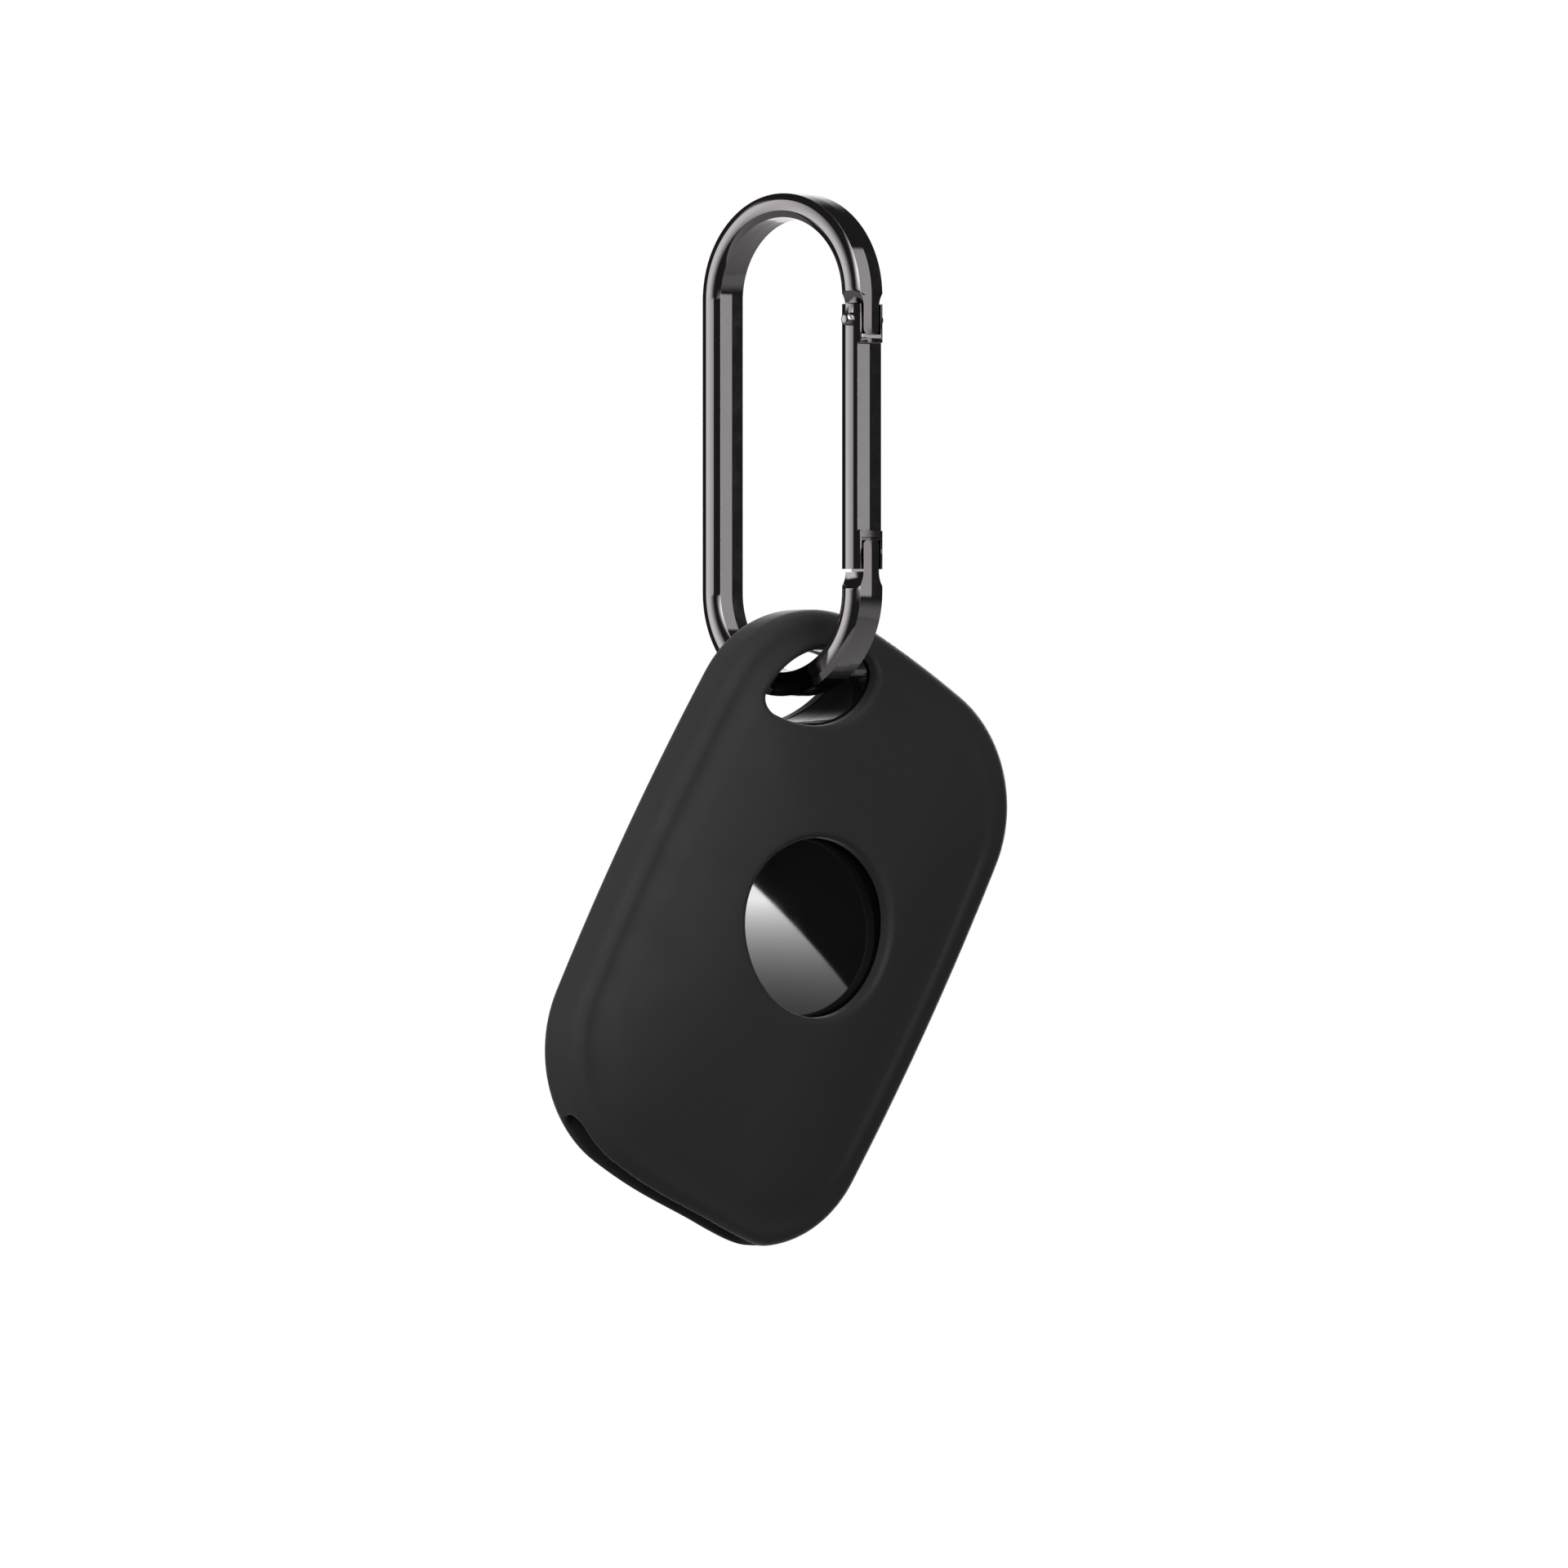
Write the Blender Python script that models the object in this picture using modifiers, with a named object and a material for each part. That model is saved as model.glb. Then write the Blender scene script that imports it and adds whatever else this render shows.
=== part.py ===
"""Soft keyring cover hanging from an oval snap ring, with the finder fob inside it.

The ring stands in its own frame: X across the limbs with the gate on +X, Y through
the bar's depth, Z up. The cover and the fob share another: X across their width,
Y along their length, Z out of the front. Both frames hang on empties.
The world's origin is the inside top of the ring's upper arch, +Z is up, and the
cover's front looks along -Y.
"""
import math
from dataclasses import dataclass, replace

import bmesh
import bpy
from mathutils import Matrix, Vector

# Snap ring
ring_height = 0.0500
ring_width = 0.0208
bar_thickness = 0.00244
bar_depth = 0.0039
bar_face_chamfer = 0.00071
bar_side_chamfer = 0.00026
ring_turn = math.radians(-78.5)

# Gate, its fork and the two tongues of the ring
gate_top_setback = 0.00084
gate_foot_setback = 0.00216
hinge_setback = 0.00238
tongue_depth = 0.0023
tongue_side_gap = 0.0003
slot_floor_gap = 0.00036
slot_roof_gap = 0.0003
tongue_corner_radius = 0.0005
hinge_tongue_reach = 0.00142
latch_tongue_reach = 0.00286
shoulder_fillet = 0.0022
hinge_shoulder_setback = 0.00124
latch_shoulder_setback = 0.00193
gate_collar_length = 0.0038
gate_waist_cut = 0.00026
gate_web = 0.0005
gate_web_gap = 0.0003

# Hinge pin, plunger and spring of the gate
pin_diameter = 0.0011
pin_clearance = 0.00004
pin_head_diameter = 0.0017
pin_head_height = 0.0009
pin_head_round = 0.0004
pin_head_gap = 0.00005
plunger_diameter = 0.0013
plunger_length = 0.0024
plunger_tip_round = 0.0003
plunger_clearance = 0.00006
plunger_tip_gap = 0.0003
spring_wire = 0.0002
spring_length = 0.0055
spring_turns = 8
spring_end_gap = 0.0001
spring_side_gap = 0.00008

# Outer form of the cover
cover_length = 0.0619
cover_width = 0.0402
cover_thickness = 0.0142
cover_long_side_radius = 0.320
cover_short_side_radius = 0.119
cover_corner_radius = 0.01325
cover_crown_share = 0.58
cover_edge_round = 0.0018
fob_crown_share = 0.65
fob_edge_round = 0.0014
crown_fullness = 2.5
side_band_share = 0.4
edge_sweep = math.radians(78.0)
cover_wall = 0.0016
cover_fob_gap = 0.0003
cover_lean = math.radians(30.18)

# Openings of the cover, and where the ring's bar sits in its hanging hole
window_rim_cover = 0.0015
window_lip = 0.0007
mouth_width = 0.0262
mouth_height = 0.0026
mouth_reach = 0.0045
hole_half_width = 0.0073
hole_half_height = 0.0037
hole_tip_radius = 0.0015
hole_lip = 0.0008
hole_from_corner_centre = 0.0056
hole_side_shift = 0.0007
pivot_along_hole = -0.0011
pivot_out_of_hole = 0.0005
pivot_side_shift = -0.0003

# Shells of the fob
shell_wall = 0.0010
shell_parting_gap = 0.0001
sleeve_wall = 0.0009
bore_step = 0.0002
seal_inset = 0.0003
seal_width = 0.0004
seal_height = 0.00035
seal_clearance = 0.00005

# Button, its seat in the front shell and its seal
button_radius = 0.0104
button_clearance = 0.00008
button_edge_top = 0.0041
button_dome = 0.00035
button_underside = 0.00345
button_travel = 0.00025
button_edge_round = 0.00015
ledge_top = 0.0028
ledge_bottom = 0.00225
ledge_width = 0.0018
button_seat_wall = 0.0012
button_seal_inset = 0.0003
button_seal_height = 0.00027
button_seal_gap = 0.00005

# Circuit board and what it carries
board_underside = 0.0007
board_thickness = 0.0006
board_outline_share = 0.84
board_hole_clearance = 0.0004
part_gap = 0.0001
switch_width = 0.0052
switch_height = 0.0010
stem_radius = 0.0012
stem_height = 0.00105
stem_clearance = 0.00006
stem_button_gap = 0.0003
radio_length_share = 0.57
radio_width_share = 0.53
radio_height = 0.0005
radio_bearing = math.radians(73.9)
crystal_length = 0.0015
crystal_width = 0.0032
crystal_height = 0.0005
crystal_bearing = math.radians(-104.0)
led_length = 0.0008
led_width = 0.0016
led_height = 0.0004
led_bearing = math.radians(-90.0)
chip_edge_round = 0.0001
chip_seat_gap = 0.0003
antenna_width = 0.0007
antenna_height = 0.0003
antenna_span = 0.0160
antenna_leg = 0.0030
antenna_edge_gap = 0.0016

# Coin cell, its cradle and its contacts
cell_diameter = 0.0200
cell_thickness = 0.0025
cell_cap_radius = 0.0088
cell_cap_height = 0.0003
cell_edge_round = 0.0002
cell_top = 0.0002
cell_side_gap = 0.0001
cradle_wall = 0.0011
cradle_height = 0.0021
cradle_slot = 0.0050
contact_sheet = 0.0002
contact_width = 0.0030
contact_span = 0.0150
front_contact_bow = 0.0001
rear_contact_bow = 0.0003

# Sounder
sounder_room_share = 0.74
sounder_wall = 0.0008
sounder_ledge = 0.0006
sounder_height = 0.0016
sounder_floor = 0.00025
sounder_disc_drop = 0.0005
sounder_sheet = 0.0002
sounder_ceramic_share = 0.72

# Screws that hold the board to the front shell
screw_radius = 0.0007
screw_head_radius = 0.0013
screw_head_height = 0.0007
screw_length = 0.0019
screw_clearance = 0.00008
screw_boss_wall = 0.0007
screw_slot_width = 0.0004
screw_slot_depth = 0.0003
screw_place_shares = ((0.74, 0.50), (0.74, -0.50), (-0.74, -0.50))

# Facet counts, and the overrun of every cut
bar_arc_steps = 24
corner_steps = 6
side_steps = 2
edge_steps = 4
crown_shares = (0.85, 0.65, 0.40)
lip_steps = 3
lens_steps = 8
tip_steps = 4
fillet_steps = 6
round_steps = 48
inner_round_steps = 32
small_round_steps = 16
coil_steps = 7
cut_overrun = 0.0010

# Worked out from the sizes above
ring_radius = (ring_width - bar_thickness) / 2
upper_arch_z = bar_thickness / 2 - ring_radius
lower_arch_z = upper_arch_z - (ring_height - ring_width)
bar_bottom_z = lower_arch_z - ring_radius
hinge_z = upper_arch_z - hinge_setback
gate_top_z = upper_arch_z - gate_top_setback
gate_foot_z = lower_arch_z + gate_foot_setback
hinge_tongue_end_z = hinge_z - hinge_tongue_reach
latch_tongue_end_z = gate_foot_z + latch_tongue_reach
slot_floor_z = hinge_tongue_end_z - slot_floor_gap
plunger_top_z = hinge_tongue_end_z - plunger_tip_gap
plunger_bottom_z = plunger_top_z - plunger_length
spring_top_z = plunger_bottom_z - spring_end_gap
spring_bottom_z = spring_top_z - spring_length
board_top = board_underside + board_thickness
window_radius = button_radius - window_rim_cover
ledge_opening_radius = button_radius - ledge_width
seat_radius = button_radius + button_clearance + button_seat_wall
cradle_radius = cell_diameter / 2 + cell_side_gap + cradle_wall


@dataclass(frozen=True)
class Pillow:
    """A crowned slab with bowed sides, round corners and a soft edge."""
    length: float
    width: float
    thickness: float
    long_side_radius: float
    short_side_radius: float
    corner_radius: float
    crown: float
    edge_round: float

    def shrunk(self, wall):
        """The same form, one wall smaller all round."""
        return replace(
            self,
            length=self.length - 2 * wall,
            width=self.width - 2 * wall,
            thickness=self.thickness - 2 * wall,
            long_side_radius=self.long_side_radius - wall,
            short_side_radius=self.short_side_radius - wall,
            corner_radius=self.corner_radius - wall,
            edge_round=self.edge_round - wall,
        )

    def side_centres(self):
        """Where the arcs of the long side on +X and the short side on +Y are centred."""
        long_centre = Vector((self.width / 2 - self.long_side_radius, 0))
        short_centre = Vector((0, self.length / 2 - self.short_side_radius))
        return long_centre, short_centre

    def corner_centre(self):
        """Where the arc of the corner between +X and +Y is centred."""
        long_centre, short_centre = self.side_centres()
        long_reach = self.long_side_radius - self.corner_radius
        short_reach = self.short_side_radius - self.corner_radius
        line = short_centre - long_centre
        gap = line.length
        along = (long_reach ** 2 - short_reach ** 2 + gap ** 2) / (2 * gap)
        across = math.sqrt(long_reach ** 2 - along ** 2)
        unit = line / gap
        return long_centre + unit * along + Vector((-unit.y, unit.x)) * across

    def outline(self, inset):
        """The outline drawn in by inset, anticlockwise from +X, as 2D points."""
        long_centre, short_centre = self.side_centres()
        centre = self.corner_centre()
        first = math.atan2(centre.y - long_centre.y, centre.x - long_centre.x)
        last = math.atan2(centre.y - short_centre.y, centre.x - short_centre.x)
        quarter = arc(long_centre, self.long_side_radius - inset, 0, first, side_steps)
        quarter += arc(centre, self.corner_radius - inset, first, last, corner_steps)[1:]
        short_radius = self.short_side_radius - inset
        quarter += arc(short_centre, short_radius, last, math.pi / 2, side_steps)[1:]
        upper = quarter + [Vector((-p.x, p.y)) for p in reversed(quarter[:-1])]
        return upper + [-p for p in upper[1:-1]]

    def crown_outline(self):
        """The outline where the soft edge ends and the crown starts."""
        return self.outline(self.edge_round * (1 - math.cos(edge_sweep)))

    def share_at(self, point):
        """0 in the middle of the crown, 1 on its rim, for a 2D point."""
        rim = self.crown_outline()
        shares = []
        for start, end in zip(rim, rim[1:] + rim[:1]):
            normal = Vector((end.y - start.y, start.x - end.x))
            shares.append(normal.dot(point) / normal.dot(start))
        return max(shares)

    def height_at(self, point):
        """Height of the crowned front over the middle plane."""
        return self.thickness / 2 - self.crown * self.share_at(point) ** crown_fullness

    def rings(self):
        """Outlines from the front's middle over the edge to the rear's middle."""
        rim_height = self.thickness / 2 - self.crown
        band = side_band_share * rim_height
        rise = (rim_height - band) / math.sin(edge_sweep)
        front = [[Vector((0, 0, self.thickness / 2))]]
        rim = self.crown_outline()
        for share in reversed(crown_shares):
            height = self.thickness / 2 - self.crown * share ** crown_fullness
            front.append([Vector((p.x * share, p.y * share, height)) for p in rim])
        for step in reversed(range(edge_steps + 1)):
            angle = edge_sweep * step / edge_steps
            inset = self.edge_round * (1 - math.cos(angle))
            front.append(raised(self.outline(inset), band + rise * math.sin(angle)))
        rear = [[Vector((p.x, p.y, -p.z)) for p in ring] for ring in reversed(front)]
        return front + rear


def arc(centre, radius, start, end, steps):
    """2D points on an arc, both ends included."""
    points = []
    for step in range(steps + 1):
        angle = start + (end - start) * step / steps
        points.append(centre + Vector((math.cos(angle), math.sin(angle))) * radius)
    return points


def circle(centre, radius, steps):
    """2D points round a circle, without the repeated last one."""
    return arc(centre, radius, 0, 2 * math.pi, steps)[:-1]


def raised(points, height):
    """2D points lifted to a height."""
    return [Vector((p.x, p.y, height)) for p in points]


def collection(name):
    """A new collection in the scene."""
    made = bpy.data.collections.new(name)
    bpy.context.scene.collection.children.link(made)
    return made


def material(name, colour, roughness, metallic=0.0, coat=0.0):
    """A Principled material."""
    made = bpy.data.materials.new(name)
    made.use_nodes = True
    shader = made.node_tree.nodes["Principled BSDF"]
    shader.inputs["Base Color"].default_value = (*colour, 1.0)
    shader.inputs["Roughness"].default_value = roughness
    shader.inputs["Metallic"].default_value = metallic
    shader.inputs["Coat Weight"].default_value = coat
    return made


def object_from(name, bm):
    """An object from a bmesh, with its faces turned outwards."""
    bmesh.ops.recalc_face_normals(bm, faces=bm.faces)
    mesh = bpy.data.meshes.new(name)
    bm.to_mesh(mesh)
    bm.free()
    return bpy.data.objects.new(name, mesh)


def loft(name, rings):
    """A closed skin through rings of equal count, where one point closes an end."""
    bm = bmesh.new()
    loops = [[bm.verts.new(p) for p in ring] for ring in rings]
    for near, far in zip(loops, loops[1:]):
        count = max(len(near), len(far))
        for index in range(count):
            following = (index + 1) % count
            if len(near) == 1:
                bm.faces.new((near[0], far[index], far[following]))
            elif len(far) == 1:
                bm.faces.new((near[index], far[0], near[following]))
            else:
                bm.faces.new((near[index], far[index], far[following], near[following]))
    for loop in (loops[0], loops[-1]):
        if len(loop) > 1:
            bm.faces.new(loop)
    return object_from(name, bm)


def prism(name, outline, bottom, top):
    """An outline in XY carried from one height to another."""
    return loft(name, [raised(outline, bottom), raised(outline, top)])


def box(name, size, centre):
    """A box of a size about a centre."""
    bm = bmesh.new()
    matrix = Matrix.Translation(centre) @ Matrix.Diagonal((*size, 1))
    bmesh.ops.create_cube(bm, size=1, matrix=matrix)
    return object_from(name, bm)


def cylinder(name, radius, bottom, top, centre=Vector((0, 0)), steps=small_round_steps):
    """An upright cylinder between two heights."""
    bm = bmesh.new()
    matrix = Matrix.Translation((centre.x, centre.y, (bottom + top) / 2))
    bmesh.ops.create_cone(
        bm, cap_ends=True, segments=steps, radius1=radius, radius2=radius,
        depth=top - bottom, matrix=matrix)
    return object_from(name, bm)


def turned(name, profile, steps=round_steps, closed=False):
    """A profile at +X, listed from top to bottom, turned about Z."""
    mesh = bpy.data.meshes.new(name)
    count = len(profile)
    edges = [(index, index + 1) for index in range(count - 1)]
    if closed:
        edges.append((count - 1, 0))
    mesh.from_pydata([(x, 0, z) for x, z in profile], edges, [])
    made = bpy.data.objects.new(name, mesh)
    screw = made.modifiers.new("turn", "SCREW")
    screw.steps = steps
    screw.render_steps = steps
    screw.use_merge_vertices = True
    screw.merge_threshold = 0.00001
    return made


def mesh_from_curve(made):
    """The welded mesh of a curve object, which it takes the place of."""
    bpy.context.scene.collection.objects.link(made)
    bpy.context.view_layer.update()
    graph = bpy.context.evaluated_depsgraph_get()
    mesh = bpy.data.meshes.new_from_object(made.evaluated_get(graph))
    bm = bmesh.new()
    bm.from_mesh(mesh)
    bmesh.ops.remove_doubles(bm, verts=bm.verts, dist=0.000001)
    bmesh.ops.recalc_face_normals(bm, faces=bm.faces)
    bm.to_mesh(mesh)
    bm.free()
    name = made.name
    place = made.matrix_world.copy()
    bpy.data.objects.remove(made)
    solid = bpy.data.objects.new(name, mesh)
    solid.matrix_world = place
    return solid


def spline_of(curve, points, cyclic):
    """A poly spline through 3D points."""
    spline = curve.splines.new("POLY")
    spline.points.add(len(points) - 1)
    for target, point in zip(spline.points, points):
        target.co = (*point, 1)
    spline.use_cyclic_u = cyclic


def plate(name, outlines, bottom, top):
    """A flat piece with an outline and any holes, between two heights."""
    curve = bpy.data.curves.new(name, "CURVE")
    curve.dimensions = "2D"
    curve.fill_mode = "BOTH"
    curve.extrude = (top - bottom) / 2
    for outline in outlines:
        spline_of(curve, raised(outline, 0), True)
    made = bpy.data.objects.new(name, curve)
    made.location.z = (top + bottom) / 2
    solid = mesh_from_curve(made)
    solid.data.transform(solid.matrix_world)
    solid.matrix_world = Matrix.Identity(4)
    return solid


def bar_along(name, points):
    """The ring's chamfered bar along 2D points, which stand up into XZ."""
    half_thickness = bar_thickness / 2
    half_depth = bar_depth / 2
    flat = half_thickness - bar_face_chamfer
    wall = half_depth - bar_side_chamfer
    corners = [(half_thickness, wall), (flat, half_depth)]
    corners += [(-x, y) for x, y in reversed(corners)]
    corners += [(-x, -y) for x, y in corners]
    section_curve = bpy.data.curves.new("bar_section", "CURVE")
    spline_of(section_curve, [(x, y, 0) for x, y in corners], True)
    section = bpy.data.objects.new("bar_section", section_curve)
    curve = bpy.data.curves.new(name, "CURVE")
    curve.dimensions = "2D"
    curve.bevel_mode = "OBJECT"
    curve.bevel_object = section
    curve.use_fill_caps = True
    spline_of(curve, raised(points, 0), False)
    solid = mesh_from_curve(bpy.data.objects.new(name, curve))
    solid.data.transform(Matrix.Rotation(math.pi / 2, 4, "X"))
    bpy.data.objects.remove(section)
    return solid


class Frame:
    """Where the objects of one moving body stand, under its empty."""

    def __init__(self, name, location, rotation, offset):
        self.empty = bpy.data.objects.new(name, None)
        self.empty.location = location
        self.empty.rotation_euler = rotation
        self.offset = offset
        bpy.context.scene.collection.objects.link(self.empty)

    def put(self, made, finish):
        """Stand a piece in this frame with its finish."""
        self.hold(made)
        made.data.materials.append(finish)
        parts.objects.link(made)
        return made

    def put_cutter(self, made):
        """Stand a cutter in this frame."""
        self.hold(made)
        made.hide_render = True
        made.display_type = "WIRE"
        cutters.objects.link(made)
        return made

    def hold(self, made):
        made.parent = self.empty
        made.location = self.offset


def cut(made, *tools):
    """Take each cutter out of a piece."""
    for tool in tools:
        boolean = made.modifiers.new("cut_" + tool.name, "BOOLEAN")
        boolean.operation = "DIFFERENCE"
        boolean.solver = "EXACT"
        boolean.object = tool


def soften(made, width):
    """Break the sharp edges of a piece."""
    bevel = made.modifiers.new("soften", "BEVEL")
    bevel.width = width
    bevel.segments = 1
    bevel.limit_method = "ANGLE"


def smooth(made):
    """Shade a round piece smooth, with its real edges kept."""
    made.data.shade_smooth()
    made.data.set_sharp_from_angle(angle=math.radians(35))


def tongue_side_outline(shoulder_z, end_z):
    """Outline, through the depth, of what is cut from one side of a tongue.

    X is the depth and Y the height. The shoulder rises out of the tongue on a
    fillet, and the tongue's end is rounded.
    """
    way = 1 if end_z > shoulder_z else -1
    flank = tongue_depth / 2
    fillet_centre = Vector((flank + shoulder_fillet, shoulder_z))
    outer = bar_depth / 2 + cut_overrun
    sweep = math.acos(1 - (outer - flank) / shoulder_fillet)
    points = arc(fillet_centre, shoulder_fillet, math.pi + way * sweep, math.pi, fillet_steps)
    corner_centre = Vector((flank - tongue_corner_radius, end_z - way * tongue_corner_radius))
    points += arc(corner_centre, tongue_corner_radius, 0, way * math.pi / 2, fillet_steps)
    beyond = end_z + way * cut_overrun
    points += [Vector((corner_centre.x, beyond)), Vector((outer, beyond))]
    return points


def tongue_cutters(frame, name, shoulder_z, end_z):
    """The two cutters that thin the bar's end to a tongue."""
    outline = tongue_side_outline(shoulder_z, end_z)
    made = []
    for side, label in ((1, "rear"), (-1, "front")):
        points = [Vector((side * p.x, p.y)) for p in outline]
        tool = prism(f"{name}_{label}_cut", points, -bar_thickness, bar_thickness)
        # the outline's X becomes the depth, its Y the height, its height the radius
        turn = Matrix(((0, 0, 1), (1, 0, 0), (0, 1, 0))).to_4x4()
        tool.data.transform(Matrix.Translation((ring_radius, 0, 0)) @ turn)
        made.append(frame.put_cutter(tool))
    return made


def pin_hole(frame, name):
    """The bore for the hinge pin, through the whole depth."""
    radius = pin_diameter / 2 + pin_clearance
    tool = cylinder(name, radius, -bar_depth, bar_depth)
    tool.data.transform(Matrix.Rotation(math.pi / 2, 4, "X"))
    tool.data.transform(Matrix.Translation((ring_radius, 0, hinge_z)))
    return frame.put_cutter(tool)


def make_ring_frame(frame):
    """The oval bar, open between its two tongues."""
    points = [Vector((ring_radius, hinge_tongue_end_z))]
    points += arc(Vector((0, upper_arch_z)), ring_radius, 0, math.pi, bar_arc_steps)
    points += arc(Vector((0, lower_arch_z)), ring_radius, math.pi, 2 * math.pi, bar_arc_steps)
    points.append(Vector((ring_radius, latch_tongue_end_z)))
    made = frame.put(bar_along("carabiner_frame", points), gunmetal)
    hinge_shoulder_z = upper_arch_z - hinge_shoulder_setback
    latch_shoulder_z = lower_arch_z + latch_shoulder_setback
    cut(made, *tongue_cutters(frame, "hinge_tongue", hinge_shoulder_z, hinge_tongue_end_z))
    cut(made, *tongue_cutters(frame, "latch_tongue", latch_shoulder_z, latch_tongue_end_z))
    cut(made, pin_hole(frame, "hinge_tongue_bore"))
    web_room = gate_web + gate_web_gap
    web_bottom = gate_foot_z - gate_web_gap
    web_top = latch_tongue_end_z + cut_overrun
    size = (web_room + cut_overrun, bar_depth, web_top - web_bottom)
    inner_x = ring_radius - bar_thickness / 2
    centre = (inner_x + (web_room - cut_overrun) / 2, 0, (web_top + web_bottom) / 2)
    cut(made, frame.put_cutter(box("latch_web_room", size, centre)))
    smooth(made)


def make_gate(frame):
    """The straight gate with a fork at each end and the plunger's bore."""
    points = [Vector((ring_radius, gate_foot_z)), Vector((ring_radius, gate_top_z))]
    made = frame.put(bar_along("gate_bar", points), gunmetal)
    slot_depth = tongue_depth + 2 * tongue_side_gap
    slot_top = gate_top_z + cut_overrun
    size = (2 * bar_thickness, slot_depth, slot_top - slot_floor_z)
    centre = (ring_radius, 0, (slot_top + slot_floor_z) / 2)
    cut(made, frame.put_cutter(box("hinge_fork_slot", size, centre)))
    roof_z = latch_tongue_end_z + slot_roof_gap
    slot_bottom = gate_foot_z - cut_overrun
    slot_width = bar_thickness - gate_web + cut_overrun
    size = (slot_width, slot_depth, roof_z - slot_bottom)
    web_x = ring_radius - bar_thickness / 2 + gate_web
    centre = (web_x + slot_width / 2, 0, (roof_z + slot_bottom) / 2)
    cut(made, frame.put_cutter(box("latch_fork_slot", size, centre)))
    waist_top = gate_top_z - gate_collar_length
    waist_bottom = gate_foot_z + gate_collar_length
    size = (gate_waist_cut + cut_overrun, 2 * bar_depth, waist_top - waist_bottom)
    outer_x = ring_radius + bar_thickness / 2
    centre = (outer_x + (cut_overrun - gate_waist_cut) / 2, 0, (waist_top + waist_bottom) / 2)
    cut(made, frame.put_cutter(box("waist_cut", size, centre)))
    bore_radius = plunger_diameter / 2 + plunger_clearance
    bore_bottom = spring_bottom_z - spring_end_gap
    place = Vector((ring_radius, 0))
    bore = cylinder("plunger_bore", bore_radius, bore_bottom, slot_floor_z + cut_overrun, place)
    cut(made, frame.put_cutter(bore))
    cut(made, pin_hole(frame, "gate_pin_bore"))
    smooth(made)


def make_hinge_pin(frame):
    """The cross pin with two domed heads that stand proud of the bar."""
    inner = bar_depth / 2 + pin_head_gap
    outer = inner + pin_head_height
    head = pin_head_diameter / 2
    dome = arc(Vector((head - pin_head_round, outer - pin_head_round)), pin_head_round,
               math.pi / 2, 0, tip_steps)
    upper = [(0, outer)] + [(p.x, p.y) for p in dome]
    upper += [(head, inner), (pin_diameter / 2, inner)]
    profile = upper + [(x, -z) for x, z in reversed(upper)]
    made = frame.put(turned("gate_hinge_pin", profile, small_round_steps), pin_steel)
    made.rotation_euler.x = math.pi / 2
    made.location = frame.offset + Vector((ring_radius, 0, hinge_z))
    smooth(made)


def make_plunger(frame):
    """The follower that the spring pushes against the hinge tongue."""
    radius = plunger_diameter / 2
    tip = arc(Vector((radius - plunger_tip_round, plunger_top_z - plunger_tip_round)),
              plunger_tip_round, math.pi / 2, 0, tip_steps)
    profile = [(0, plunger_top_z)] + [(p.x, p.y) for p in tip]
    profile += [(radius, plunger_bottom_z), (0, plunger_bottom_z)]
    made = frame.put(turned("gate_plunger", profile, small_round_steps), pin_steel)
    made.location = frame.offset + Vector((ring_radius, 0, 0))
    smooth(made)


def make_gate_spring(frame):
    """The coil that presses on the plunger."""
    coil_radius = plunger_diameter / 2 + plunger_clearance - spring_side_gap - spring_wire / 2
    count = spring_turns * coil_steps
    rise = spring_length - spring_wire
    points = []
    for step in range(count + 1):
        angle = 2 * math.pi * step / coil_steps
        height = spring_bottom_z + spring_wire / 2 + rise * step / count
        points.append((coil_radius * math.cos(angle), coil_radius * math.sin(angle), height))
    pitch = rise / spring_turns
    print(f"gate spring: least gap between turns {(pitch - spring_wire) * 1000:.2f} mm")
    curve = bpy.data.curves.new("gate_spring", "CURVE")
    curve.dimensions = "3D"
    curve.bevel_depth = spring_wire / 2
    curve.bevel_resolution = 0
    curve.use_fill_caps = True
    spline_of(curve, points, False)
    made = frame.put(bpy.data.objects.new("gate_spring", curve), pin_steel)
    made.location = frame.offset + Vector((ring_radius, 0, 0))


def hole_outline(grow):
    """The hanging hole's outline, in the cover's frame, grown by a margin.

    Two shallow arcs face each other across the corner's bisector, and a small
    arc rounds each tip.
    """
    reach = hole_half_width - hole_tip_radius
    spare = hole_half_height - hole_tip_radius
    radius = (hole_half_height ** 2 - hole_tip_radius ** 2 + reach ** 2) / (2 * spare)
    low = Vector((0, hole_half_height - radius))
    tip = Vector((reach, 0))
    lean = math.atan2(tip.y - low.y, tip.x - low.x)
    points = arc(tip, hole_tip_radius + grow, -lean, lean, tip_steps)
    points += arc(low, radius + grow, lean, math.pi - lean, lens_steps)[1:]
    points += [-p for p in points[1:-1]]
    return [from_hole(p) for p in points]


def corner_block_outline(grow):
    """The grown hole's inner half, carried on outwards past the corner."""
    reach = hole_half_width + grow
    depth = hole_half_height + grow
    radius = (reach ** 2 + depth ** 2) / (2 * depth)
    centre = Vector((0, radius - depth))
    half = math.asin(reach / radius)
    points = arc(centre, radius, -math.pi / 2 - half, -math.pi / 2 + half, lens_steps)
    far = cover_corner_radius + cut_overrun
    points += [Vector((reach, far)), Vector((-reach, far))]
    return [from_hole(p) for p in points]


def from_hole(point):
    """From along-the-hole and out-of-the-corner to the cover's frame."""
    return hole_centre + hole_along * point.x + hole_out * point.y


def lip_growth(depth, lip):
    """How much wider a rounded hole is at a depth under the surface."""
    return lip - math.sqrt(lip ** 2 - (lip - depth) ** 2)


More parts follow.
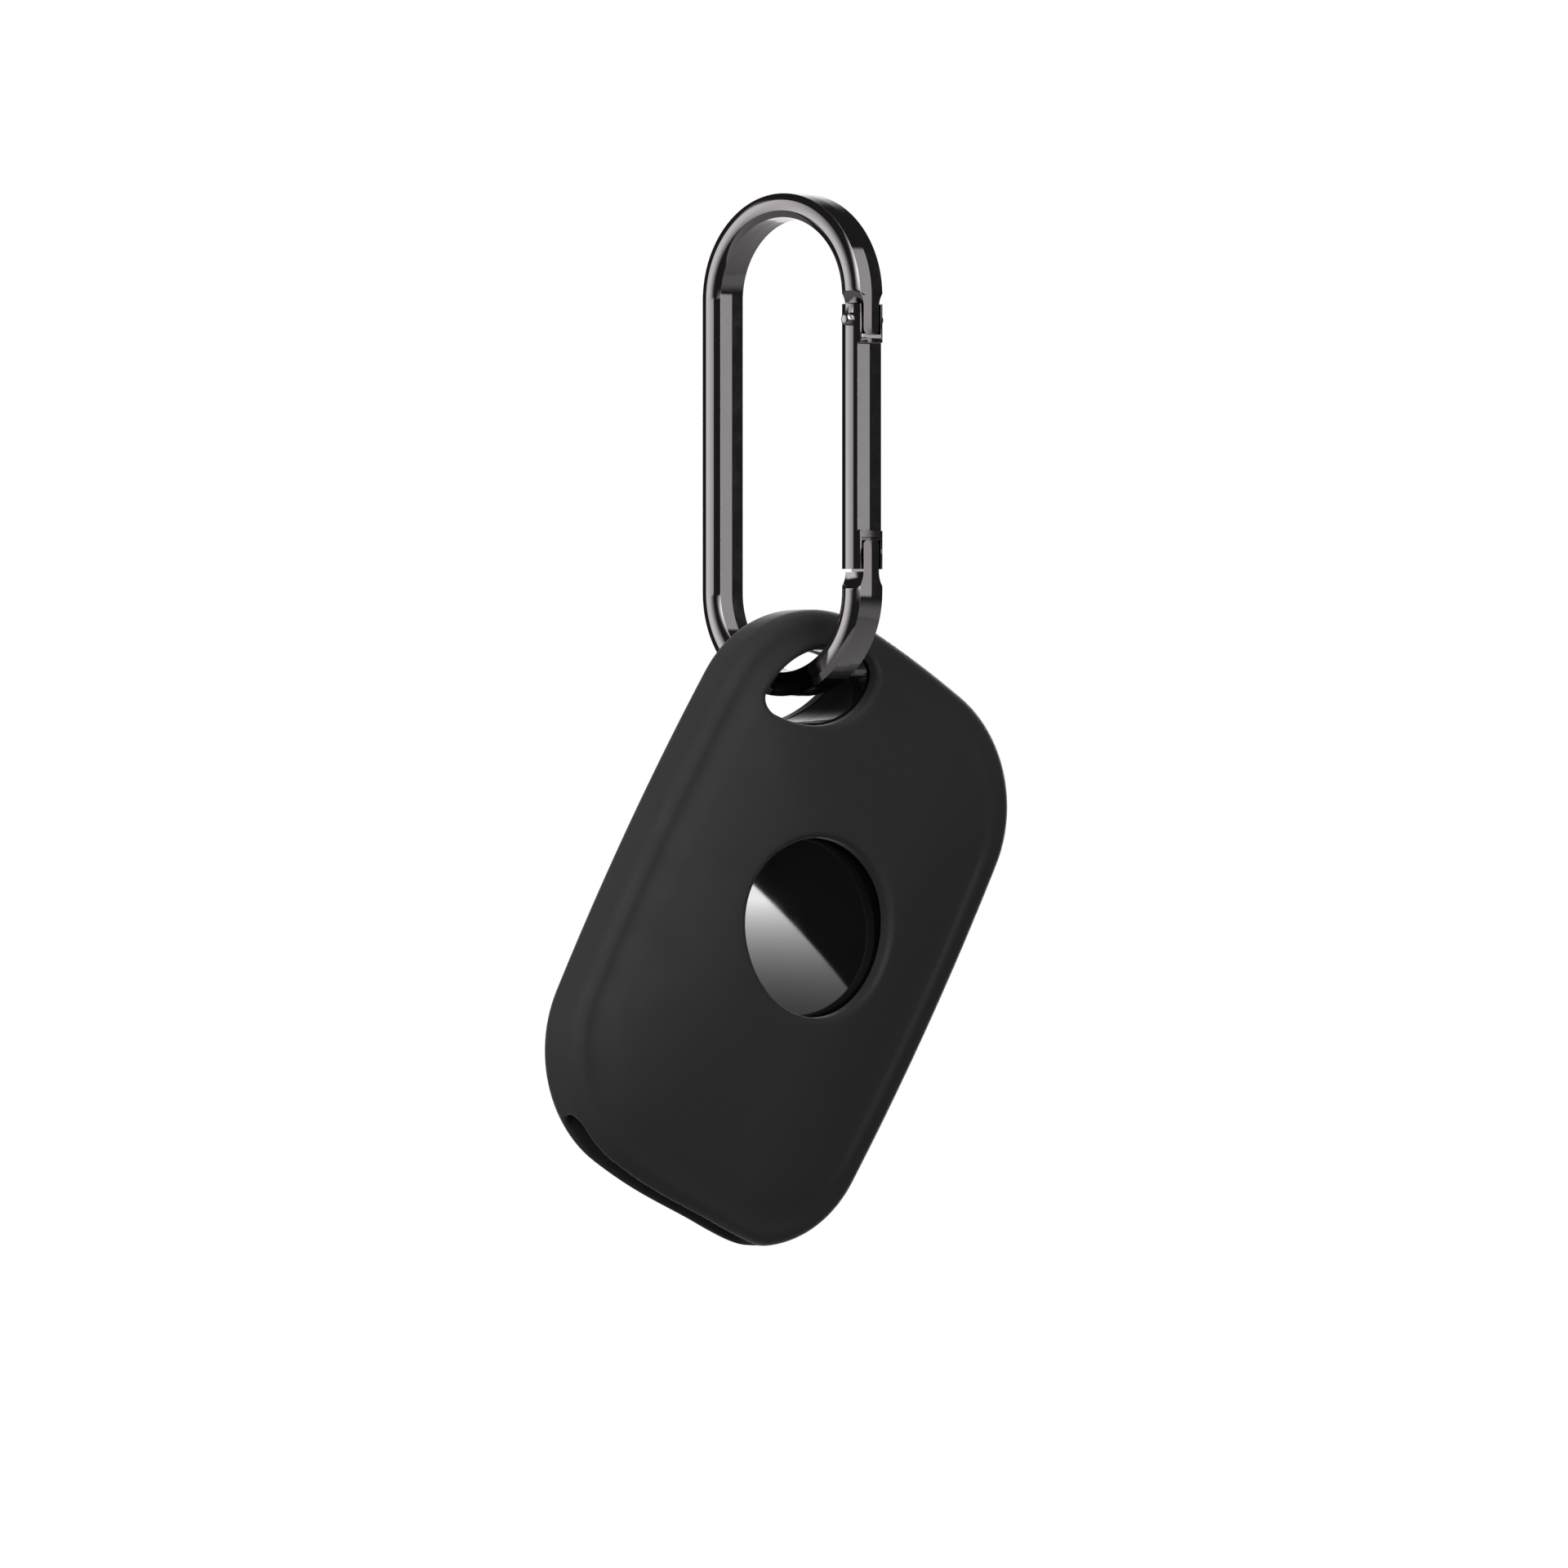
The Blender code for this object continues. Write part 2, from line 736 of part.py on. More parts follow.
def skin_rings(form, outline_of, lip):
    """Rings of a cutter that rounds a hole's rim along a crowned front."""
    rings = []
    outer = outline_of(lip)
    rings.append([Vector((p.x, p.y, form.height_at(p) + cut_overrun)) for p in outer])
    for step in range(lip_steps + 1):
        depth = lip * (1 - math.cos(math.pi / 2 * step / lip_steps))
        points = outline_of(lip_growth(depth, lip))
        rings.append([Vector((p.x, p.y, form.height_at(p) - depth)) for p in points])
    return rings


def make_cover(frame):
    """The soft cover: a hollow pillow with a window, a hanging hole and a mouth."""
    made = frame.put(loft("silicone_cover", cover.rings()), silicone)
    cavity = frame.put_cutter(loft("cover_cavity", fob.shrunk(-cover_fob_gap).rings()))
    front = skin_rings(cover, hole_outline, hole_lip)
    rear = [[Vector((p.x, p.y, -p.z)) for p in ring] for ring in reversed(front)]
    hole = frame.put_cutter(loft("hanging_hole", front + rear))

    def window_outline(grow):
        return circle(Vector((0, 0)), window_radius + grow, round_steps)

    rings = skin_rings(cover, window_outline, window_lip)
    rings.append(raised(window_outline(0), fob.thickness / 2 - fob.crown))
    window = frame.put_cutter(loft("front_window", rings))
    half = mouth_width / 2 - mouth_height / 2
    outline = arc(Vector((half, 0)), mouth_height / 2, -math.pi / 2, math.pi / 2, tip_steps)
    outline += [-p for p in outline]
    start = -cover_length / 2 - cut_overrun
    end = -cover_length / 2 + mouth_reach
    mouth = loft("mouth", [[Vector((p.x, y, p.y)) for p in outline] for y in (start, end)])
    cut(made, cavity, hole, window, frame.put_cutter(mouth))
    smooth(made)


def half_space(frame, name, side):
    """A block over everything on one side of the parting plane."""
    edge = side * shell_parting_gap / 2
    reach = cover_thickness
    size = (2 * cover_width, 2 * cover_length, reach)
    return frame.put_cutter(box(name, size, (0, 0, edge - side * reach / 2)))


def shell_cavity(frame, name):
    """The hollow of a shell, left solid round the hanging hole's corner."""
    tool = frame.put_cutter(loft(name, hollow.rings()))
    half = cover_thickness / 2
    block = prism(name + "_corner", corner_block_outline(sleeve_wall), -half, half)
    cut(tool, frame.put_cutter(block))
    return tool


def bore_cutter(frame, name):
    """The fob's hanging hole, a step smaller than the cover's."""
    half = cover_thickness / 2
    return frame.put_cutter(prism(name, hole_outline(-bore_step), -half, half))


def seal_loop(name, clearance, bottom, top):
    """A loop that follows the fob's outline inside its wall."""
    outer = fob.outline(seal_inset - clearance)
    inner = fob.outline(seal_inset + seal_width + clearance)
    return plate(name, (outer, inner), bottom, top)


def make_front_shell(frame):
    """The fob's front half with the button's stepped seat and the board's bosses."""
    made = frame.put(loft("front_shell", fob.rings()), gloss_black)
    cavity = shell_cavity(frame, "front_hollow")
    seat = cylinder("seat_wall", seat_radius, ledge_bottom, cover_thickness, steps=round_steps)
    cut(cavity, frame.put_cutter(seat))
    boss_bottom = board_top + part_gap
    boss_radius = screw_radius + screw_clearance + screw_boss_wall
    hole_top = board_underside - part_gap + screw_length + part_gap
    for number, place in enumerate(screw_places, 1):
        boss = cylinder(f"boss_{number}", boss_radius, boss_bottom, cover_thickness, place)
        cut(cavity, frame.put_cutter(boss))
    room = button_radius + button_clearance
    high = cover_thickness
    low = ledge_bottom - cut_overrun
    profile = [(0, high), (room, high), (room, ledge_top), (ledge_opening_radius, ledge_top)]
    profile += [(ledge_opening_radius, low), (0, low)]
    seat_cut = frame.put_cutter(turned("button_seat", profile))
    cut(made, cavity, half_space(frame, "rear_side", 1), seat_cut)
    cut(made, bore_cutter(frame, "front_bore"))
    for number, place in enumerate(screw_places, 1):
        hole_radius = screw_radius + screw_clearance
        hole = cylinder(f"boss_hole_{number}", hole_radius, board_underside, hole_top, place)
        cut(made, frame.put_cutter(hole))
    smooth(made)


def make_rear_shell(frame):
    """The fob's rear half with the groove of the seal."""
    made = frame.put(loft("rear_shell", fob.rings()), gloss_black)
    top = -shell_parting_gap / 2
    bottom = top - seal_height - 2 * seal_clearance
    groove = seal_loop("seal_groove", seal_clearance, bottom, top + cut_overrun)
    cut(made, shell_cavity(frame, "rear_hollow"), half_space(frame, "front_side", -1))
    cut(made, bore_cutter(frame, "rear_bore"), frame.put_cutter(groove))
    smooth(made)


def make_shell_seal(frame):
    """The thin loop between the shells."""
    top = -shell_parting_gap / 2 - seal_clearance
    frame.put(seal_loop("shell_seal", 0, top - seal_height, top), soft_grey)


def make_button(frame):
    """The glossy domed disc that is pressed through the window."""
    rim = button_radius - button_edge_round
    profile = []
    for step in range(edge_steps + 1):
        share = step / edge_steps
        profile.append((rim * share, button_edge_top + button_dome * (1 - share ** 2)))
    profile += [(button_radius, button_edge_top - button_edge_round)]
    profile += [(button_radius, button_underside), (0, button_underside)]
    made = frame.put(turned("finder_button", profile), gloss_black)
    smooth(made)


def make_button_seal(frame):
    """The soft ring on the seat's ledge, under the button's rim."""
    bottom = ledge_top + button_seal_gap
    top = bottom + button_seal_height
    inner = ledge_opening_radius + button_seal_inset
    outer = button_radius - button_seal_inset
    profile = [(inner, bottom), (inner, top), (outer, top), (outer, bottom)]
    made = frame.put(turned("button_seal", profile, inner_round_steps, True), soft_grey)
    smooth(made)


def make_board(frame):
    """The circuit board, cut away at the hanging hole's corner."""
    made = plate("circuit_board", (board_outline,), board_underside, board_top)
    frame.put(made, board_green)
    grow = sleeve_wall + board_hole_clearance
    notch = prism("board_notch", corner_block_outline(grow), -cover_thickness, cover_thickness)
    cut(made, frame.put_cutter(notch))
    for number, place in enumerate(screw_places, 1):
        radius = screw_radius + screw_clearance
        hole = cylinder(f"board_hole_{number}", radius, -cover_thickness, cover_thickness, place)
        cut(made, frame.put_cutter(hole))


def on_board(name, bearing, width, length, height, frame, finish):
    """A small box-shaped part on the board's front, just outside the button's seat."""
    distance = seat_radius + chip_seat_gap + math.hypot(width, length) / 2
    x = distance * math.cos(bearing)
    y = distance * math.sin(bearing)
    bottom = board_top + part_gap
    made = box(name, (width, length, height), (x, y, bottom + height / 2))
    soften(made, chip_edge_round)
    return frame.put(made, finish)


def make_board_parts(frame):
    """The radio, the crystal, the light and the antenna."""
    end_room = board_half_length - seat_radius
    radio_length = radio_length_share * end_room
    radio_width = radio_width_share * end_room
    on_board("radio_module", radio_bearing, radio_width, radio_length, radio_height,
             frame, tin)
    on_board("crystal", crystal_bearing, crystal_width, crystal_length, crystal_height,
             frame, tin)
    on_board("indicator_led", led_bearing, led_width, led_length, led_height,
             frame, soft_grey)
    middle = antenna_edge_gap - board_half_length
    outer_x = antenna_span / 2
    inner_x = outer_x - antenna_width
    near = middle + antenna_width / 2
    far = middle - antenna_width / 2
    end = near + antenna_leg
    right = [(inner_x, near), (inner_x, end), (outer_x, end), (outer_x, far)]
    outline = [Vector(p) for p in right]
    outline += [Vector((-x, y)) for x, y in reversed(right)]
    bottom = board_top + part_gap
    made = plate("antenna", (outline,), bottom, bottom + antenna_height)
    frame.put(made, copper)


def make_switch(frame, moving_frame):
    """The switch under the button: a base on the board and a travelling stem."""
    bottom = board_top + part_gap / 2
    size = (switch_width, switch_width, switch_height)
    base = box("switch_base", size, (0, 0, bottom + switch_height / 2))
    frame.put(base, matt_black)
    stem_top = button_underside - stem_button_gap
    stem_bottom = stem_top - stem_height
    well_bottom = stem_bottom - button_travel - part_gap / 2
    well_radius = stem_radius + stem_clearance
    well = cylinder("switch_well", well_radius, well_bottom, cover_thickness)
    cut(base, frame.put_cutter(well))
    stem = cylinder("switch_stem", stem_radius, stem_bottom, stem_top)
    moving_frame.put(stem, soft_grey)
    smooth(stem)


def make_cell(frame):
    """The coin cell with its crimped can and smaller rear cap."""
    radius = cell_diameter / 2
    bottom = cell_top - cell_thickness
    shoulder = bottom + cell_cap_height
    profile = [(0, cell_top), (radius - cell_edge_round, cell_top)]
    profile += [(radius, cell_top - cell_edge_round), (radius, shoulder + cell_edge_round)]
    profile += [(radius - cell_edge_round, shoulder), (cell_cap_radius, shoulder)]
    profile += [(cell_cap_radius, bottom), (0, bottom)]
    made = frame.put(turned("coin_cell", profile, inner_round_steps), tin)
    smooth(made)


def make_cradle(frame):
    """The ring that holds the cell, open at one slot for its contact."""
    inner = cell_diameter / 2 + cell_side_gap
    outer = cradle_radius
    top = board_underside - part_gap
    bottom = top - cradle_height
    profile = [(inner, bottom), (inner, top), (outer, top), (outer, bottom)]
    made = frame.put(turned("cell_cradle", profile, inner_round_steps, True), matt_black)
    size = (cradle_slot, 2 * cradle_wall + cradle_slot, 2 * cradle_height)
    slot = box("cradle_slot", size, (0, outer, (top + bottom) / 2))
    cut(made, frame.put_cutter(slot))
    smooth(made)


def bowed_strip(name, face, bow, away):
    """A spring strip along Y that bows away from a face, up or down."""
    half = contact_span / 2
    count = 2 * edge_steps
    near = []
    for step in range(count + 1):
        share = 2 * step / count - 1
        near.append(Vector((half * share, face + away * bow * share ** 2)))
    lift = Vector((0, away * contact_sheet))
    outline = near + [p + lift for p in reversed(near)]
    half_width = contact_width / 2
    return loft(name, [[Vector((x, p.x, p.y)) for p in outline]
                       for x in (-half_width, half_width)])


def make_contacts(frame):
    """The two strips that touch the cell's front and rear."""
    front = bowed_strip("cell_contact_front", cell_top + part_gap, front_contact_bow, 1)
    frame.put(front, tin)
    rear_face = cell_top - cell_thickness - part_gap
    rear = bowed_strip("cell_contact_rear", rear_face, rear_contact_bow, -1)
    frame.put(rear, tin)


def make_sounder(frame):
    """The sounder: a cup on the board's back and the brass disc in it."""
    top = board_underside - part_gap
    bottom = top - sounder_height
    room = sounder_radius - sounder_wall
    ledge = room - sounder_ledge
    step = top - sounder_floor - sounder_disc_drop
    profile = [(0, top), (sounder_radius, top), (sounder_radius, bottom), (room, bottom)]
    profile += [(room, step), (ledge, step), (ledge, top - sounder_floor)]
    profile += [(0, top - sounder_floor)]
    case = frame.put(turned("sounder_case", profile, inner_round_steps), matt_black)
    disc_top = step - part_gap / 2
    disc_radius = room - part_gap
    middle = disc_top - sounder_sheet
    profile = [(0, disc_top), (disc_radius, disc_top), (disc_radius, middle)]
    ceramic_radius = disc_radius * sounder_ceramic_share
    profile += [(ceramic_radius, middle)]
    profile += [(ceramic_radius, middle - sounder_sheet), (0, middle - sounder_sheet)]
    disc = frame.put(turned("sounder_disc", profile, inner_round_steps), brass)
    place = Vector((0, -cradle_radius - part_gap - sounder_radius, 0))
    for made in (case, disc):
        made.location = frame.offset + place
        smooth(made)


def make_screws(frame):
    """The screws through the board into the front shell's bosses."""
    seat = board_underside - part_gap
    head_end = seat - screw_head_height
    tip = seat + screw_length
    chamfer = screw_radius / 2
    for number, place in enumerate(screw_places, 1):
        profile = [(0, tip), (screw_radius - chamfer, tip), (screw_radius, tip - chamfer)]
        profile += [(screw_radius, seat), (screw_head_radius, seat)]
        profile += [(screw_head_radius, head_end), (0, head_end)]
        made = turned(f"board_screw_{number}", profile, small_round_steps)
        frame.put(made, pin_steel)
        offset = Vector((place.x, place.y, 0))
        made.location = frame.offset + offset
        size = (2 * screw_head_radius + cut_overrun, screw_slot_width, 2 * screw_slot_depth)
        slot = box(f"screw_slot_{number}", size, (0, 0, head_end))
        frame.put_cutter(slot)
        slot.location = frame.offset + offset
        cut(made, slot)
        smooth(made)


for leftover in list(bpy.data.objects):
    bpy.data.objects.remove(leftover)

parts = collection("keyring_cover")
cutters = collection("keyring_cover_cutters")

gunmetal = material("gunmetal", (0.09, 0.08, 0.08), 0.16, 1.0)
pin_steel = material("pin_steel", (0.20, 0.19, 0.19), 0.22, 1.0)
silicone = material("black_silicone", (0.018, 0.018, 0.019), 0.55)
gloss_black = material("gloss_black_plastic", (0.008, 0.008, 0.009), 0.08, 0.0, 0.6)
matt_black = material("matt_black_plastic", (0.02, 0.02, 0.02), 0.5)
soft_grey = material("soft_grey_rubber", (0.25, 0.25, 0.25), 0.6)
board_green = material("board_green", (0.02, 0.12, 0.05), 0.4)
tin = material("tin_plate", (0.6, 0.6, 0.58), 0.3, 1.0)
copper = material("copper", (0.7, 0.35, 0.2), 0.3, 1.0)
brass = material("brass", (0.65, 0.5, 0.2), 0.3, 1.0)

cover = Pillow(
    cover_length, cover_width, cover_thickness, cover_long_side_radius,
    cover_short_side_radius, cover_corner_radius,
    cover_crown_share * cover_thickness / 2, cover_edge_round)
inside = cover.shrunk(cover_wall + cover_fob_gap)
fob = replace(inside, crown=fob_crown_share * inside.thickness / 2,
              edge_round=fob_edge_round)
hollow = fob.shrunk(shell_wall)
hollow_half_length = max(p.y for p in hollow.crown_outline())
sounder_radius = sounder_room_share * (hollow_half_length - cradle_radius) / 2

hole_out = Vector((-1, 1)).normalized()
hole_along = Vector((1, 1)).normalized()
corner = cover.corner_centre()
hole_centre = Vector((-corner.x, corner.y)) + hole_out * hole_from_corner_centre
hole_centre += hole_along * hole_side_shift
pivot = hole_centre + hole_along * pivot_along_hole + hole_out * pivot_out_of_hole

board_outline = [p * board_outline_share for p in hollow.crown_outline()]
board_half_width = max(p.x for p in board_outline)
board_half_length = max(p.y for p in board_outline)
screw_places = [
    Vector((board_half_width * x, board_half_length * y)) for x, y in screw_place_shares]

ring_stand = Frame("ring_stand", (0, 0, 0), (0, 0, ring_turn), Vector((0, 0, 0)))
hinge_point = Vector((ring_radius, 0, hinge_z))
turned_hinge = Matrix.Rotation(ring_turn, 3, "Z") @ hinge_point
gate_hinge = Frame("gate_hinge", turned_hinge, (0, 0, ring_turn), -hinge_point)
cover_place = (pivot_side_shift, 0, bar_bottom_z)
cover_turn = (math.pi / 2, cover_lean, 0)
cover_swing = Frame("cover_swing", cover_place, cover_turn, Vector((-pivot.x, -pivot.y, 0)))

make_ring_frame(ring_stand)
make_hinge_pin(ring_stand)
make_gate(gate_hinge)
make_plunger(gate_hinge)
make_gate_spring(gate_hinge)
make_cover(cover_swing)
make_front_shell(cover_swing)
make_rear_shell(cover_swing)
make_shell_seal(cover_swing)
make_button(cover_swing)
make_button_seal(cover_swing)
make_board(cover_swing)
make_board_parts(cover_swing)
make_switch(cover_swing, cover_swing)
make_cell(cover_swing)
make_cradle(cover_swing)
make_contacts(cover_swing)
make_sounder(cover_swing)
make_screws(cover_swing)
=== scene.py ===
import math

import bmesh
import bpy
import numpy as np
from mathutils import Matrix, Vector
from mathutils.geometry import delaunay_2d_cdt


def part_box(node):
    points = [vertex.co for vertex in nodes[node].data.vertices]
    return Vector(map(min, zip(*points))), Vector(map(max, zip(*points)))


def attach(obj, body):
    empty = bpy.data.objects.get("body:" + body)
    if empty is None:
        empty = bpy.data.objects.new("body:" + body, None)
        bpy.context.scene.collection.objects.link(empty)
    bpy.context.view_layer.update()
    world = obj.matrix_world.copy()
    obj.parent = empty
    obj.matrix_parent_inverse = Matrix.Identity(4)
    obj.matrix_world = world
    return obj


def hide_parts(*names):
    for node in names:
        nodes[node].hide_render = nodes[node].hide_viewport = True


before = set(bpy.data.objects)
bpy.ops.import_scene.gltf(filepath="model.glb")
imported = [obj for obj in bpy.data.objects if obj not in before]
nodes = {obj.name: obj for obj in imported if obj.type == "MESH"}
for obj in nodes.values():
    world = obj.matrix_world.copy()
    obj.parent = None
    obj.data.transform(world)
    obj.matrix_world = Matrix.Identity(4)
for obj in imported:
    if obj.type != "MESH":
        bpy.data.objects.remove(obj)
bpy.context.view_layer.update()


MM = 0.001
past = 1.0  # how far a cutting tool reaches past the piece, in millimetres

# The ring's sizes and heights in millimetres: its inner top is the origin

ring_height, ring_width = 50.0, 20.8
bar_thickness, bar_depth = 2.44, 3.9
ring_radius = (ring_width - bar_thickness) / 2
upper_z = bar_thickness / 2 - ring_radius
lower_z = upper_z - (ring_height - ring_width)
hinge_z = upper_z - 2.38
gate_top_z = upper_z - 0.84
gate_foot_z = lower_z + 2.16
hinge_shoulder_z, hinge_end_z = upper_z - 1.24, hinge_z - 1.42
latch_shoulder_z, latch_end_z = lower_z + 1.93, gate_foot_z + 2.86
ring_matrix = Matrix.Rotation(math.radians(-78.5), 4, "Z")

# The cover's axes, which lean as it hangs

lean = math.radians(30.18)
across = Vector((math.cos(lean), 0, -math.sin(lean)))
along = Vector((math.sin(lean), 0, math.cos(lean)))
outwards = Vector((0, -1, 0))


# Meshes, drawn in millimetres and kept in metres

def mesh_object(name, verts, faces, matrix=Matrix.Identity(4)):
    mesh = bpy.data.meshes.new(name)
    mesh.from_pydata([tuple(v) for v in verts], [], [tuple(f) for f in faces])
    mesh.transform(Matrix.Scale(MM, 4) @ matrix)
    mesh.validate()
    made = bpy.data.objects.new(name, mesh)
    bpy.context.scene.collection.objects.link(made)
    return made


def edit_mesh(made, change):
    bm = bmesh.new()
    bm.from_mesh(made.data)
    change(bm)
    bm.to_mesh(made.data)
    bm.free()


def faces_out(made, triangles=False):
    """Turns every face outwards, cut into triangles where a boolean needs them."""
    def change(bm):
        if triangles:
            bmesh.ops.triangulate(bm, faces=bm.faces)
        bmesh.ops.recalc_face_normals(bm, faces=bm.faces)

    edit_mesh(made, change)


def merge_points(made, distance):
    edit_mesh(made, lambda bm: bmesh.ops.remove_doubles(bm, verts=bm.verts, dist=distance * MM))


def close_slits(made, distance=0.001):
    """Merges the points that cuts left on top of each other and closes the slits between them."""
    def change(bm):
        bmesh.ops.remove_doubles(bm, verts=bm.verts, dist=distance * MM)
        bmesh.ops.holes_fill(bm, edges=[e for e in bm.edges if e.is_boundary], sides=4)

    edit_mesh(made, change)


def bake(made):
    """Applies the object's modifiers."""
    bpy.context.view_layer.update()
    graph = bpy.context.evaluated_depsgraph_get()
    mesh = bpy.data.meshes.new_from_object(
        made.evaluated_get(graph), preserve_all_data_layers=True, depsgraph=graph)
    old = made.data
    made.modifiers.clear()
    made.data = mesh
    bpy.data.meshes.remove(old)


def cut(made, *tools):
    for tool in tools:
        boolean = made.modifiers.new("cut", "BOOLEAN")
        boolean.operation = "DIFFERENCE"
        boolean.solver = "EXACT"
        boolean.object = tool
    bake(made)
    for tool in tools:
        bpy.data.objects.remove(tool)


def soften(made, width, angle=15.0, segments=2):
    """Rounds the hard edges, and keeps the reflections of the broad faces flat."""
    bevel = made.modifiers.new("soften", "BEVEL")
    bevel.width = width * MM
    bevel.segments = segments
    bevel.limit_method = "ANGLE"
    bevel.angle_limit = math.radians(angle)
    bevel.use_clamp_overlap = True
    bevel.miter_outer = "MITER_ARC"
    weighted = made.modifiers.new("weighted", "WEIGHTED_NORMAL")
    weighted.keep_sharp = True
    weighted.weight = 50
    bake(made)


def smooth(made, angle=None):
    made.data.shade_smooth()
    if angle is not None:
        made.data.set_sharp_from_angle(angle=math.radians(angle))


def arc(cx, cy, radius, start, end, steps):
    points = []
    for step in range(steps + 1):
        angle = start + (end - start) * step / steps
        points.append(Vector((cx + radius * math.cos(angle), cy + radius * math.sin(angle))))
    return points


def circle(cx, cy, radius, steps):
    return arc(cx, cy, radius, 0, 2 * math.pi, steps)[:-1]


def lofted(rings, cap=True):
    """Verts and faces of the skin through rings of equal counts."""
    verts, faces, loops = [], [], []
    for ring in rings:
        loops.append(list(range(len(verts), len(verts) + len(ring))))
        verts.extend(ring)
    for near, far in zip(loops, loops[1:]):
        count = len(near)
        for index in range(count):
            after = (index + 1) % count
            faces.append((near[index], far[index], far[after], near[after]))
    if cap:
        faces.append(tuple(loops[0]))
        faces.append(tuple(reversed(loops[-1])))
    return verts, faces


def prism(outline, bottom, top, matrix):
    """A cutting tool with this outline."""
    rings = [[Vector((p.x, p.y, z)) for p in outline] for z in (bottom, top)]
    made = mesh_object("tool", *lofted(rings), matrix)
    faces_out(made)
    return made


def box_tool(size, centre, matrix):
    half_x, half_y, half_z = (s / 2 for s in size)
    outline = [Vector((sx * half_x, sy * half_y))
               for sx, sy in ((-1, -1), (1, -1), (1, 1), (-1, 1))]
    return prism(outline, -half_z, half_z, matrix @ Matrix.Translation(Vector(centre)))


def turned(name, profile, steps, matrix):
    """The solid of a profile of radius and height, turned about the z axis."""
    verts, faces = [], []
    for x, z in profile:
        for step in range(steps):
            angle = 2 * math.pi * step / steps
            verts.append((x * math.cos(angle), x * math.sin(angle), z))
    for row in range(len(profile) - 1):
        for step in range(steps):
            after = (step + 1) % steps
            a, b = row * steps, (row + 1) * steps
            faces.append((a + step, b + step, b + after, a + after))
    made = mesh_object(name, verts, faces, matrix)
    merge_points(made, 1e-5)
    faces_out(made)
    return made


def weld(name, parts, matrix):
    """One mesh of several skins that share their rims."""
    verts, faces = [], []
    for part_verts, part_faces in parts:
        base = len(verts)
        verts.extend(part_verts)
        faces.extend(tuple(base + i for i in face) for face in part_faces)
    made = mesh_object(name, verts, faces, matrix)
    merge_points(made, 0.002)
    faces_out(made)
    return made


# Materials

def shader_of(made):
    return made.node_tree.nodes["Principled BSDF"]


def add_node(made, kind, **sockets):
    node = made.node_tree.nodes.new(kind)
    for name, value in sockets.items():
        node.inputs[name.replace("_", " ")].default_value = value
    return node


def noise(made, scale, detail):
    coords = add_node(made, "ShaderNodeTexCoord")
    field = add_node(made, "ShaderNodeTexNoise", Scale=scale, Detail=detail, Roughness=0.5)
    made.node_tree.links.new(coords.outputs["Object"], field.inputs["Vector"])
    return field


def new_material(name, colour, roughness, metallic=0.0, specular=0.5, patches=None):
    """A plain material. Patches are the noise's scale and detail, and the roughness's span."""
    made = bpy.data.materials.new(name)
    made.use_nodes = True
    shader = shader_of(made)
    shader.inputs["Base Color"].default_value = (*colour, 1)
    shader.inputs["Roughness"].default_value = roughness
    shader.inputs["Metallic"].default_value = metallic
    shader.inputs["Specular IOR Level"].default_value = specular
    if patches:
        scale, detail, low, high = patches
        span = add_node(made, "ShaderNodeMapRange",
                        From_Min=0.3, From_Max=0.7, To_Min=low, To_Max=high)
        made.node_tree.links.new(noise(made, scale, detail).outputs["Fac"], span.inputs["Value"])
        made.node_tree.links.new(span.outputs["Result"], shader.inputs["Roughness"])
    return made


def tint(made, scale, detail, first, second):
    """Lets the colour wander between two near shades."""
    mix = made.node_tree.nodes.new("ShaderNodeMix")
    mix.data_type = "RGBA"
    mix.inputs["A"].default_value = (*first, 1)
    mix.inputs["B"].default_value = (*second, 1)
    made.node_tree.links.new(noise(made, scale, detail).outputs["Fac"], mix.inputs["Factor"])
    made.node_tree.links.new(mix.outputs["Result"], shader_of(made).inputs["Base Color"])


def grain(made, scale, detail, strength, distance=0.00002):
    """A fine moulded texture, its height in metres."""
    bump = add_node(made, "ShaderNodeBump", Strength=strength, Distance=distance)
    made.node_tree.links.new(noise(made, scale, detail).outputs["Fac"], bump.inputs["Height"])
    made.node_tree.links.new(bump.outputs["Normal"], shader_of(made).inputs["Normal"])


silicone = new_material("silicone", (0.02, 0.02, 0.021), 0.5, specular=0.15,
                        patches=(260, 5, 0.50, 0.62))
shader_of(silicone).inputs["Sheen Weight"].default_value = 0.3
shader_of(silicone).inputs["Sheen Roughness"].default_value = 0.3
tint(silicone, 90, 4, (0.0185, 0.0185, 0.019), (0.0215, 0.0215, 0.022))
grain(silicone, 9000, 3, 0.12)

gunmetal = new_material("gunmetal", (0.42, 0.395, 0.40), 0.07, 1.0, patches=(700, 6, 0.045, 0.085))
tint(gunmetal, 160, 3, (0.40, 0.375, 0.38), (0.44, 0.415, 0.42))

steel = new_material("pin_steel", (0.55, 0.53, 0.53), 0.12, 1.0, patches=(1500, 5, 0.08, 0.16))
gloss = new_material("gloss_black", (0.006, 0.006, 0.0065), 0.06, patches=(420, 5, 0.045, 0.085))
lacquer = new_material("disc_lacquer", (0.004, 0.004, 0.0045), 0.03, specular=1.0,
                       patches=(420, 5, 0.02, 0.04))

plastic = new_material("moulded_black", (0.02, 0.02, 0.02), 0.5, patches=(900, 4, 0.42, 0.55))
grain(plastic, 6000, 2, 0.15)

rubber = new_material("soft_grey", (0.25, 0.25, 0.25), 0.6, patches=(900, 4, 0.55, 0.68))
resist = new_material("board_green", (0.02, 0.12, 0.05), 0.35, patches=(900, 4, 0.28, 0.42))
tint(resist, 700, 4, (0.016, 0.10, 0.04), (0.024, 0.14, 0.06))

